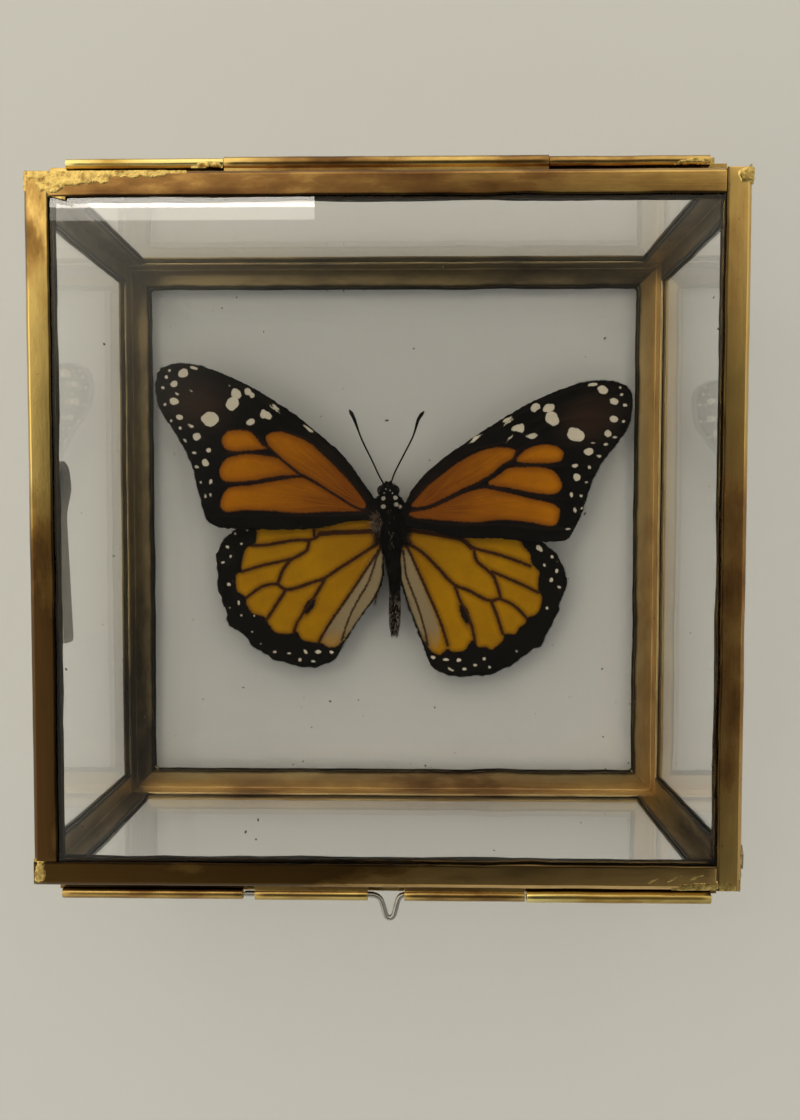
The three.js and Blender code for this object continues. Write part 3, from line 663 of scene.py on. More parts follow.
HIND_VEINS_LEFT = [
    (.45, [(-3.0, .3), (-6.2, 0), (-10.2, -.1), (-14.1, -.4)]),
    (.28, [(-15.2, .4), (-15.1, -1)]),
    (.27, [(-14.1, -.5), (-14.9, -1.2), (-16.3, -1.6), (-18.6, -1.6), (-21.3, -2), (-24.1, -2.5),
           (-27.2, -2.7)]),
    (.3, [(-16.1, -1.7), (-16.5, -3.4), (-18, -4.5), (-19.8, -5.5), (-21.3, -7.5), (-22.3, -10.1)]),
    (.27, [(-19.8, -5.3), (-22.4, -5.9), (-25.5, -6.6), (-29.25, -7.75)]),
    (.27, [(-22.3, -10.2), (-23.6, -10.2), (-25.5, -10.75), (-27.2, -11.9), (-28.6, -13)]),
    (.3, [(-2.7, -2.1), (-6.1, -4.4), (-10.2, -7), (-13, -8.9), (-15.8, -9.9), (-18.6, -10.9),
          (-20.8, -11.2), (-22.3, -10.2)]),
    (.3, [(-20.8, -11.4), (-22.4, -13.9), (-24.7, -17.4)]),
    (.28, [(-13.1, -9.2), (-15.2, -12.7), (-17.4, -15.9), (-18.6, -17.8), (-19.25, -19.8)]),
    (.26, [(-1.9, -2.3), (-2.7, -3.7), (-6.1, -8.9), (-9.7, -14.2), (-12.2, -17.8), (-14.5, -21.7)]),
    (.2, [(-2.3, -3.4), (-3.1, -5.3), (-4.7, -9.8), (-7.2, -14.2), (-8.8, -17.8), (-9.8, -21.2)])]
HIND_SPOTS_LEFT = [
    (-32.1, -2.9, .38, .33, 0), (-31.4, -4.8, .32, .3, 0), (-33.1, -6, .27, .25, 0),
    (-30.5, -.3, .25, .2, 0), (-28.2, .4, .3, .2, 0), (-29.4, -2.3, .27, .25, 0), (-32, -10.3, .33, .3, 0),
    (-30, -13.9, .25, .4, 0), (-31.7, -14.8, .22, .22, 0), (-29.4, -16.2, .22, .22, 0),
    (-23, -23.4, .32, .3, 0), (-20.2, -23.7, .3, .25, 0), (-16.9, -23.4, .5, .28, -60),
    (-14.4, -23.4, .65, .32, 0), (-11.75, -23.5, .42, .3, 0), (-18.1, -25, .32, .3, 0),
    (-15.4, -25.3, .45, .25, 0), (-27, -16.4, .16, .16, 0), (-27.5, -19.7, .16, .16, 0),
    (-25.6, -21.9, .18, .16, 0)]
PALE_LEFT = [(-2.3, -3.4), (-6.1, -8.9), (-9.7, -14.2), (-12.2, -17.8), (-13.6, -20.4), (-12.4, -22.6),
             (-8.6, -22.4), (-3.4, -14.2), (-1.0, -9)]

HIND_MARGIN_RIGHT = [
    (3.2, 2.2), (9, 2.9), (16, 2.6), (23, 1.4), (27, 0), (29.3, -2.1), (30.3, -3), (31.4, -3.9),
    (32.4, -5.2), (33.3, -7), (33.75, -8.9), (33.8, -10.5), (33, -12.3), (32.4, -13.9), (32.3, -15.3),
    (31.4, -17), (30.6, -18.7), (29.7, -20.3), (29, -22.1), (27.4, -22.8), (25.7, -24.1), (24.2, -25.2),
    (23.3, -26), (21.4, -26.7), (19.4, -27.7), (17.8, -28), (16.4, -27.9), (13.9, -28.25), (11.9, -28),
    (10.4, -27.7), (8.3, -26.7), (7.2, -25.5), (6.4, -23.1), (5.3, -20.3), (3.9, -16.6), (2.5, -12.7),
    (1.7, -10), (1.4, -7.6)]
HIND_FIELD_RIGHT = [
    (24.9, -1.6), (25.6, -3.1), (26.7, -4.2), (26.9, -5.9), (27.8, -7), (28.5, -7.8), (28.3, -9.2),
    (28.3, -11.4), (29, -12.7), (28.6, -15.1), (27.5, -16.2), (26.1, -16.6), (25.8, -17.7), (24.6, -18.7),
    (23.9, -19.8), (21.9, -19.8), (21.4, -21.2), (19.4, -22.8), (18.3, -22.3), (16.7, -22.3), (16, -20.9),
    (15.1, -21.4), (14, -23), (11.7, -23.25), (10.7, -22.7), (9.4, -23.8), (8.1, -23.5), (6.9, -22.3),
    (5.9, -20.4), (4.4, -16.7), (3, -12.8), (2.2, -10), (1.9, -7.6), (3, 1.6), (24.5, 1.2)]
HIND_VEINS_RIGHT = [
    (.4, [(2.6, .5), (11.1, -.9), (13.6, -1.6), (15.4, -3.1)]),
    (.27, [(15, -2.7), (16.7, -3.4), (20, -4.2), (23.9, -5.5), (26.7, -6.6)]),
    (.3, [(15.8, -3.7), (16.4, -5.6), (18.3, -7.3), (19.7, -8.7), (20.6, -11.2), (21, -12.7)]),
    (.27, [(19.2, -7.6), (22.2, -8.9), (25, -10.1), (28.3, -11.7)]),
    (.27, [(21, -13), (23.1, -13.9), (24.7, -15.2), (26.1, -16.7)]),
    (.3, [(3.3, -2.3), (6.1, -4.2), (8.9, -7), (11.9, -10.1), (15, -11.4), (18.6, -13.25), (21, -12.8)]),
    (.3, [(19.2, -13.5), (20.3, -16.2), (21.5, -19.8)]),
    (.28, [(12.1, -10.3), (13.1, -13.1), (14.7, -16.2), (15.6, -18.9), (16.1, -21.4)]),
    (.26, [(2.5, -2.2), (3.5, -4.2), (5.6, -8.9), (8.1, -14.5), (9.7, -18.4), (10.8, -22)]),
    (.2, [(2.1, -3.6), (2.4, -5.9), (2.8, -8.7), (4.7, -13.7), (6.25, -18.7), (6.9, -22)])]
HIND_SPOTS_RIGHT = [
    (28.4, -3.1, .75, .4, -45), (30.9, -4.7, .37, .35, 0), (29.5, -6.5, .25, .37, 0),
    (31.9, -7.6, .3, .45, 0), (30.9, -9.3, .37, .35, 0), (32.4, -10.75, .37, .27, 0),
    (30.1, -14.8, .32, .3, 0), (17.9, -24.6, .32, .3, 0), (19, -26.3, .27, .25, 0), (16.1, -26, .32, .3, 0),
    (13, -25, .55, .35, 20), (10.5, -24.8, .6, .32, 0), (8, -24.4, .37, .27, 0),
    (11.4, -26.7, .55, .22, -15), (14, -26.7, .37, .3, 0), (24.2, -23.3, .18, .16, 0)]
PALE_RIGHT = [(2.6, -3.2), (4.6, -7), (6.9, -12.4), (8.6, -16.8), (9.2, -19.6), (8.4, -22.6), (5.6, -22.6),
              (3.0, -15.6), (0.8, -9)]

wing("scaled_hindwing_left", "hindwing_left", HIND_MARGIN_LEFT, HIND_RISE["left"], [HIND_FIELD_LEFT],
     HIND_VEINS_LEFT, HIND_SPOTS_LEFT, PALE_LEFT, [], [(-16.1, -14.4, 1.9, .8, 56)], HIND_COAT,
     "hindwing_scales", (-.6, -.8, 12), 21)
wing("scaled_hindwing_right", "hindwing_right", HIND_MARGIN_RIGHT, HIND_RISE["right"], [HIND_FIELD_RIGHT],
     HIND_VEINS_RIGHT, HIND_SPOTS_RIGHT, PALE_RIGHT, [], [(14.1, -15.9, 2.2, .8, -68)], HIND_COAT,
     "hindwing_scales", (.6, -.8, 12), 22)


# ---- Forewings: the same membrane and scales, stiffened by thick veins along the front edge.
# Four orange cells lie in the black, a browner patch fades into the tip, and two rows of white
# spots follow the outer margin, with larger ones slanting in from the front edge.

FORE_COAT = [
    scaled_wing("forewing_scales", ground="#080605", field="#b46f03", rim="#743c06", root="#5a260a",
                pale="#c9b184", patch="#2b1d15", white="#c9bfac", rib="#22130a", basal_reach=0.6),
    scaled_wing("forewing_underside_scales", ground="#1f1812", field="#c98a34", rim="#8d5c22", root="#7c4a1c",
                pale="#d8c294", patch="#7a5c3a", white="#d6cebd", rib="#32251a", basal_reach=0.62),
]
FORE_MARGIN_LEFT = [
    (-2.2, 5.9), (-3.4, 6.5), (-4.4, 7.9), (-7.4, 12.1), (-10, 15.3), (-15, 19.6), (-19.9, 23.4),
    (-25, 26.6), (-29.9, 29.2), (-35, 31.25), (-37.7, 32), (-40, 32.3), (-42.4, 32.1), (-44.3, 31.4),
    (-45.2, 30.1), (-45.6, 28.3), (-45.4, 26.4), (-45, 24.4), (-44, 22.25), (-42.6, 20.3), (-41.1, 17.8),
    (-39.5, 14.9), (-38.5, 12.4), (-37.8, 9.6), (-37.2, 7.1), (-36.6, 4.6), (-35.9, 2.4), (-34.5, 1.3),
    (-33.1, .8), (-30.6, .54), (-25, .46), (-19.9, .43), (-14.7, .64), (-11.3, 1.33), (-8.55, 2),
    (-5.2, 2.2), (-2.2, 2.0), (-1.7, 3.5)]
FORE_CELLS_LEFT = [
    [(-32.8, 17.6), (-31.9, 19), (-31.1, 19.4), (-27.4, 19.2), (-24.9, 16.5), (-24.1, 16), (-29.9, 15.5),
     (-32, 16)],
    [(-33.25, 11.7), (-32, 13.9), (-29.9, 14.6), (-27, 14.9), (-21.6, 14), (-19.2, 12.4), (-16.9, 11.1),
     (-21.6, 10.8), (-27, 9.9), (-32, 9.75)],
    [(-33.1, 5.3), (-31.6, 8.3), (-27, 9), (-21.6, 9.9), (-17, 10.3), (-13.4, 8.5), (-9.9, 6.2), (-7, 4.6),
     (-5.6, 4.1), (-12.7, 3.9), (-18.1, 3.7), (-23.4, 4.1), (-28.8, 4.2), (-32, 3.9)],
    [(-24.1, 18.5), (-21.6, 19.2), (-18, 18.1), (-15.2, 16.5), (-12.4, 13.9), (-9.5, 11), (-7, 8.1),
     (-5.2, 5.6), (-5.4, 4.5), (-7.4, 5.1), (-10.9, 7.3), (-14.5, 9.7), (-17.7, 11.5), (-19.9, 13.1),
     (-22, 14.9), (-23.8, 16.8)]]
FORE_VEINS_LEFT = [
    (.3, [(-4.5, 3.9), (-7.4, 4.9), (-10.9, 7.1), (-14.5, 9.3), (-17.7, 11.1), (-19.9, 12.8), (-22, 14.5),
          (-24, 16.4)]),
    (.25, [(-22, 14.5), (-27, 15.3), (-32, 15.1), (-39.5, 15.3)]),
    (.25, [(-17.5, 10.8), (-21.6, 10.3), (-27, 9.5), (-31.6, 9.2), (-37.8, 9)]),
    (.3, [(-4.5, 3.6), (-12.7, 3.1), (-23.4, 3.1), (-32, 2.9), (-36, 2.9)]),
    (.3, [(-24.3, 16.5), (-25.6, 18.5), (-27.4, 19.6)]),
    (.2, [(-27.4, 19.6), (-33, 20), (-42.6, 19.8)]),
    (.2, [(-26.3, 20.3), (-35, 24.2), (-45, 24.4)]),
    (.4, [(-4.5, 6.2), (-10.6, 14.4), (-20, 22.2), (-30, 28.2), (-38, 31.3), (-44.3, 30.6)]),
    (.3, [(-5, 5.8), (-9.5, 11.7), (-15.2, 17.2), (-21.6, 20), (-30, 25.6), (-40, 28.8), (-45.4, 27)])]
FORE_SPOTS_LEFT = [
    (-35, 21.6, 1.6, 1.4, 0), (-30.7, 24.7, 1.35, 1.15, 20), (-30.9, 24.3, 1.0, 1.1, 0),
    (-29.9, 26.5, 1.1, .8, -30), (-27.7, 26.9, .6, .7, -40), (-26.9, 26.2, .6, .5, -40),
    (-22.2, 23.9, .95, .25, -38), (-22.5, 23.4, 1.15, .18, -38), (-24.2, 22.4, 1.15, .7, -30),
    (-24.7, 22.6, .6, .9, 0), (-27.2, 21, .95, .6, 0), (-16.1, 19.8, 1.15, .25, -35),
    (-38, 31.4, .8, .3, -15), (-40.1, 30.5, 1.05, .75, 20), (-41.9, 28.4, .75, .6, 30),
    (-42, 25, .85, .7, 0), (-40.9, 22, .62, .6, 0), (-37.6, 18.25, .78, .72, 0), (-35.2, 15.6, .5, .45, 0),
    (-35.9, 13.3, .6, .75, 0), (-35, 9.6, .32, .5, 0), (-35, 7.1, .22, .4, 0), (-42.9, 31, .3, .3, 0),
    (-43.4, 29.7, .3, .28, 0), (-44.1, 27.7, .3, .25, 0), (-43.8, 24.4, .3, .3, 0),
    (-42.4, 21.4, .28, .3, 0), (-40.75, 19.9, .3, .3, 0), (-38.1, 15.2, .3, .25, 0),
    (-41.4, 26.6, .5, .2, -25), (-38.6, 20.3, .6, .2, -25), (-39.9, 17.5, .5, .25, -40),
    (-37.7, 12.5, .4, .2, -40), (-36.8, 9.5, .2, .35, 0), (-36.1, 6.9, .2, .3, 0),
    (-31.2, 28.1, .35, .14, -30), (-38.6, 27.1, .3, .12, -30)]
FORE_MARGIN_RIGHT = [
    (1.7, 4.7), (2.5, 5.6), (3.9, 8.2), (6.6, 11.4), (10.1, 14.3), (15.1, 17.8), (20.1, 21.1), (25.1, 24),
    (30.1, 26.4), (35.1, 28.2), (38, 28.8), (40.5, 28.9), (42.8, 28.6), (44.6, 27.9), (45.5, 26.6),
    (45.9, 24.9), (45.7, 22.8), (45.3, 20.5), (44.4, 18.9), (43.2, 17.25), (42.1, 15.8), (40.3, 13.5),
    (39.1, 11.4), (38, 8.9), (37.1, 6), (36.4, 3.7), (34.6, 0), (33.75, -1.2), (32.5, -1.7), (29.3, -1.9),
    (25, -1.7), (20, -1.2), (15, -1.2), (11.7, -1), (10, -.5), (8.3, 0), (5.5, .5), (3.3, .7), (1.6, 1.0),
    (1.5, 3.0)]
FORE_CELLS_RIGHT = [
    [(32.8, 14.9), (32.5, 15.6), (31.2, 16.4), (28.7, 16.7), (26.2, 16), (24.6, 14.9), (24, 13.5),
     (28.4, 13.2), (31.9, 13.5)],
    [(32.5, 9.2), (31.2, 11.4), (29.1, 12.25), (25.9, 12.4), (22.6, 12.25), (20.4, 10.9), (18.5, 9.3),
     (22.3, 8.5), (25.9, 7.8), (30.1, 7.25), (31.9, 7.8)],
    [(32.1, 3.9), (31.75, 4.75), (30.1, 5.6), (26.6, 6.4), (22.3, 7.4), (18, 8.3), (15.9, 8), (13.4, 7.2),
     (10.5, 5.8), (6.9, 4.3), (3.4, 3.7), (4.4, 2.8), (10.5, 2.25), (15.9, 1.9), (21.2, 2.4), (26.6, 1.9),
     (30.1, 1.2), (31.6, 1.7)],
    [(23.7, 15.5), (20.9, 16.2), (18, 15.8), (15.1, 14.6), (12.3, 13), (9.4, 10.8), (6.6, 8.5), (4.4, 6),
     (3.9, 4.8), (6.9, 5.2), (10.5, 6.8), (13.4, 8.3), (16.9, 9.9), (19.4, 11.5), (21.2, 13.1), (23, 14)]]
FORE_VEINS_RIGHT = [
    (.3, [(3.6, 4), (6.9, 4.8), (10.5, 6.3), (13.4, 7.8), (16.9, 9.4), (19.4, 11.1), (21.2, 12.7),
          (23.2, 13.8)]),
    (.25, [(22, 13), (28, 12.8), (33, 12.5), (40, 12.9)]),
    (.25, [(17.5, 8.9), (22.3, 7.95), (26.6, 7.1), (31, 6.4), (37.2, 6)]),
    (.3, [(3.5, 2.6), (10.5, 1.4), (21.2, 1.4), (30, .5), (35, .6)]),
    (.3, [(23.2, 13.8), (24, 15.6), (25.5, 17)]),
    (.2, [(25.5, 17), (33, 17.8), (43.3, 17.4)]),
    (.2, [(25, 18), (34, 21.5), (45.5, 21.4)]),
    (.4, [(3.4, 6), (10.2, 13.2), (20, 19.9), (30, 25.3), (38, 27.9), (44.4, 27.2)]),
    (.3, [(4, 6.3), (9.4, 11.6), (15.1, 15.6), (21, 17.2), (30, 22.4), (40, 25.4), (45.6, 23.8)])]
FORE_SPOTS_RIGHT = [
    (35.1, 18.6, 1.65, 1.3, -20), (30.5, 21.7, 1.2, 1.2, 20), (30.8, 21.4, 1.0, 1.2, 0),
    (29.9, 23.7, 1.15, .75, 20), (27.3, 23.75, .95, .65, 25), (24, 19.9, 1.2, .65, 20),
    (24.5, 19.8, .7, .85, 0), (22.6, 18.1, .9, .15, 50), (26.75, 18.4, 1.05, .5, 0), (22, 21.5, 1, .28, 30),
    (22.3, 21, 1.3, .15, 33), (15.9, 17.8, 1.2, .28, 33), (38.3, 28.1, .85, .35, 10),
    (40.25, 27.1, 1, .75, -20), (42.3, 24.9, .8, .6, -20), (42.3, 21.6, .75, .6, 0),
    (41.2, 18.8, .62, .6, 0), (37.5, 15.4, .85, .7, 0), (35, 12.7, .55, .35, 25), (35.3, 10.5, .66, .62, 0),
    (34.4, 7.1, .3, .5, 0), (35.1, 4.2, .2, .45, 0), (33.7, .6, .4, .25, 0), (43.4, 27.5, .3, .28, 0),
    (43.7, 26.3, .3, .28, 0), (44.4, 24.2, .42, .3, 0), (44.1, 21, .3, .28, 0), (42.5, 18.1, .42, .2, 0),
    (40.75, 16.7, .35, .3, 0), (38.4, 17.1, .4, .14, 0), (39.6, 14.5, .5, .2, 0), (37.75, 12.4, .4, .28, 0),
    (37.2, 9.5, .4, .2, 0), (36.2, 6.9, .25, .3, 0), (36.4, 4.6, .22, .3, 0)]

wing("scaled_forewing_left", "forewing_left", FORE_MARGIN_LEFT, (np.array((-4.2, 4.6)), 6.9, 0.3, 0.25),
     FORE_CELLS_LEFT, FORE_VEINS_LEFT, FORE_SPOTS_LEFT, [], [(-37.2, 24.6, 6.2, 4.4, -20)], [], FORE_COAT,
     "forewing_scales", (-1, 0, 35.4), 31)
wing("scaled_forewing_right", "forewing_right", FORE_MARGIN_RIGHT, (np.array((3.6, 3.9)), 6.9, 0.3, 0.25),
     FORE_CELLS_RIGHT, FORE_VEINS_RIGHT, FORE_SPOTS_RIGHT, [], [(37.6, 21.6, 6.0, 4.4, 20)], [], FORE_COAT,
     "forewing_scales", (1, 0, 35.0), 32)


# ---- Body: head, thorax and abdomen of a dried butterfly, glued by its underside to the back pane.
# The skin is black chitin in rings, hidden by bristles: black on the thorax with white dots, grey
# where it was rubbed, pale hairs along its ridge as a painted glint, and pale frayed tips at the end
# of the abdomen. The legs are folded under it.

def loft(verts, faces, points, radii, sides=12, flat=1.0):
    """Adds a closed round form along a line of points; radii are its half widths there."""
    points = [Vector(p) for p in points]
    first = len(verts)
    up = Vector((0, 0, 1))
    for k, (point, radius) in enumerate(zip(points, radii)):
        ahead = points[min(k + 1, len(points) - 1)] - points[max(k - 1, 0)]
        side = ahead.cross(up).normalized()
        high = side.cross(ahead).normalized()
        for s in range(sides):
            turn = 2 * pi * s / sides
            verts.append(point + (side * cos(turn) + high * sin(turn) * flat) * radius)
    for k in range(len(points) - 1):
        for s in range(sides):
            n = (s + 1) % sides
            a, b = first + k * sides, first + (k + 1) * sides
            faces.append([a + s, b + s, b + n, a + n])
    faces.append([first + s for s in range(sides)])
    faces.append([first + (len(points) - 1) * sides + s for s in reversed(range(sides))])


def curve3(points, gap):
    """A smooth curve in space through the given points."""
    flat = spline([p[:2] for p in points], gap)
    total = [0.0]
    for a, b in zip(points, points[1:]):
        total.append(total[-1] + max(1, ceil(sqrt((a[0] - b[0]) ** 2 + (a[1] - b[1]) ** 2) / gap)))
    heights = np.interp(range(len(flat)), total, [p[2] for p in points])
    return [Vector((x, y, z)) for (x, y), z in zip(flat, heights)]


def form(name, verts, faces, material, slot, *nodes, body="case", sharp=60):
    """A piece of points in millimetres: smooth, with the edges over sharp degrees kept crisp."""
    mesh = bpy.data.meshes.new(name)
    mesh.from_pydata([at(*v) for v in verts], [], faces)
    mesh.shade_smooth()
    mesh.set_sharp_from_angle(angle=radians(sharp))
    mesh.validate()
    piece = place(name, mesh, material)
    finish_piece(piece, slot, *nodes, body=body)
    return piece


def chitin(name, light, dark):
    """Dry insect skin: nearly black, with a low waxy shine and fine wrinkles."""
    made, tree, shader = surface(name, Roughness=0.45, IOR=1.55, Specular_IOR_Level=0.04)
    where = add(tree, "TexCoord", {}).outputs["Object"]
    mottle = add(tree, "TexNoise", {"Vector": where, "Scale": every(0.7), "Detail": 4})
    shade = add(tree, "Mix", {0: mottle, 6: paint(dark), 7: paint(light)}, data_type="RGBA")
    wrinkles = add(tree, "TexNoise", {"Vector": where, "Scale": every(0.22), "Detail": 4})
    skin = add(tree, "Bump", {"Height": wrinkles, "Distance": 0.05 * MM})
    plug(tree, shader, {"Base Color": shade, "Normal": skin})
    return made


SKIN = chitin("black_chitin", "#100a07", "#060403")
# The middle and half sizes of each rounded part, then the line of the abdomen from front to tip.
THORAX = (Vector((0.0, 1.4, 4.8)), Vector((3.0, 5.7, 2.7)))
COLLAR = (Vector((-0.7, 5.4, 5.3)), Vector((2.45, 2.4, 2.1)))
HEAD = (Vector((-0.75, 7.9, 5.65)), Vector((1.7, 1.3, 1.35)))
ABDOMEN = [(0.2, -2.6, 4.85), (0.3, -5.5, 4.9), (0.45, -9, 4.85), (0.5, -12.5, 4.75), (0.5, -16, 4.6),
           (0.4, -20.2, 4.45)]
# Its half width at each share of its length, and how many rings it has.
GIRTH = [(0, 1.5), (0.08, 1.8), (0.2, 1.6), (0.36, 1.15), (0.5, 1.0), (0.7, 1.1), (0.88, 0.95), (0.97, 0.6),
         (1, 0.2)]
RINGS = 8

body_verts, body_faces = [], []


def ball(verts, faces, shaped):
    """Adds a rounded form; shaped gives the place of each point of a unit ball."""
    work = bmesh.new()
    bmesh.ops.create_icosphere(work, subdivisions=4, radius=1)
    first = len(verts)
    verts.extend([shaped(vert.co) for vert in work.verts])
    faces.extend([first + v.index for v in face.verts] for face in work.faces)
    work.free()


def lump(middle, half, seed, rough):
    """Adds a rounded part of the body with the dents of dried skin."""

    def dented(spot):
        """The place of a point of a unit ball on this part."""
        dents = noise.noise(spot * 1.7 + Vector((seed, 0, 0))) + 0.4 * noise.noise(spot * 5)
        return middle + Vector([spot[i] * half[i] * (1 + rough * dents) for i in range(3)])

    ball(body_verts, body_faces, dented)


lump(*THORAX, 1.3, 0.1)
lump(*COLLAR, 2.9, 0.08)
lump(*HEAD, 5.1, 0.08)


def back_at(x, y):
    """The height of the top of the head, collar or thorax over a point."""
    best = THORAX[0].z
    for middle, half in (THORAX, COLLAR, HEAD):
        flat = ((x - middle.x) / half.x) ** 2 + ((y - middle.y) / half.y) ** 2
        if flat < 1:
            best = max(best, middle.z + half.z * sqrt(1 - flat))
    return best


spine = curve3(ABDOMEN, 0.12)
shares = [k / (len(spine) - 1) for k in range(len(spine))]
girth = np.interp(shares, [s for s, _ in GIRTH], [r for _, r in GIRTH])
# Each ring of the abdomen slips a little over the one behind it.
girth = [r * (1 + 0.07 * ((s * RINGS) % 1.0) - 0.05) for r, s in zip(girth, shares)]
loft(body_verts, body_faces, spine, girth, sides=28, flat=0.92)
PALP = ((0.35, 8.7, 5.0), (0.4, 9.3, 5.4), (0.36, 9.5, 6.0))  # out from the middle, along, high
for side in (-1, 1):
    # Two short furry palps stand up in front of the head.
    path = curve3([(HEAD[0].x + side * out, y, z) for out, y, z in PALP], 0.08)
    stout = np.interp(np.linspace(0, 1, 40), [0, .4, 1], [.35, .38, .1])
    loft(body_verts, body_faces, path, stout, sides=10)
    # Two legs on each side lie folded back under the thorax.
    for front, knee, heel, out in ((3.4, 1.2, -3.6, 2.9), (0.6, -2.0, -6.6, 2.2)):
        leg = [(side * 0.9, front, 3.6), (side * (out - 0.6), (front + knee) / 2, 3.5),
               (side * out, knee, 3.45), (side * (out - 0.5), (knee + heel) / 2, 3.1),
               (side * (out - 1.3), heel, 3.0)]
        path = curve3(leg, 0.25)
        share = np.linspace(0, 1, len(path))
        slim = np.interp(share, [0, .45, .5, .55, .8, 1], [.24, .2, .22, .16, .12, .08])
        loft(body_verts, body_faces, path, slim, sides=8)
# The tongue is coiled up under the head in three turns.
turns = [k / 12 for k in range(3 * 12 + 1)]
coil = []
for turn in turns:
    wide = 0.55 - 0.14 * turn
    coil.append((HEAD[0].x, 8.9 + wide * cos(2 * pi * turn), 4.35 + wide * sin(2 * pi * turn)))
loft(body_verts, body_faces, coil, [0.1 - 0.015 * turn for turn in turns], sides=8)
form("butterfly_body", body_verts, body_faces, SKIN, "body_scales", "body")

# The eyes are domes on the sides of the head, smooth but for the fine lattice of their facets.
EYE = surface("compound_eye", Roughness=0.25, IOR=1.5, Specular_IOR_Level=0.15, Base_Color=paint("#0d0907"))
eye_verts, eye_faces = [], []


def faceted(spot):
    """The place of a point of a unit ball on an eye, from the middle of the eye."""
    return Vector((spot.x * 0.8, spot.y * 0.95, spot.z)) * (1 + 0.006 * sin(55 * spot.z) * sin(55 * spot.y))


for side in (-1, 1):
    middle = HEAD[0] + Vector((side * 1.4, 0.15, -0.1))
    ball(eye_verts, eye_faces, lambda spot: middle + faceted(spot))
form("butterfly_eyes", eye_verts, eye_faces, EYE[0], "body_scales")


def bristles(name):
    """Hair scales from black through grey brown, which is rubbed hair and a painted glint, to white, by how
    pale each was grown.
    """
    made, tree, shader = surface(name, Roughness=0.6, IOR=1.55, Specular_IOR_Level=0.03)
    pale = add(tree, "Attribute", {}, attribute_name="pale")
    low = add(tree, "MapRange", {0: pale.outputs["Fac"], 1: 0.12, 2: 0.6})
    high = add(tree, "MapRange", {0: pale.outputs["Fac"], 1: 0.6, 2: 1})
    grey = add(tree, "Mix", {0: low, 6: paint("#070504"), 7: paint("#6b5644")}, data_type="RGBA")
    white = add(tree, "Mix", {0: high, 6: grey, 7: paint("#e2dccf")}, data_type="RGBA")
    plug(tree, shader, {"Base Color": white})
    return made


HAIR = bristles("hair_scales")
# The middle and half sizes of the white dots on the collar, and of the small ones on the head.
WHITE_DOTS = [(-1.65, 6.5, .38, .36), (-1.65, 4.9, .48, .36), (.65, 6.6, .4, .38), (.8, 5.3, .42, .36),
              (1.5, 4.9, .3, .34), (-1.2, 8.3, .05, .05), (-.4, 8.0, .06, .06), (.1, 7.5, .08, .07),
              (-1.5, 7.5, .06, .06)]


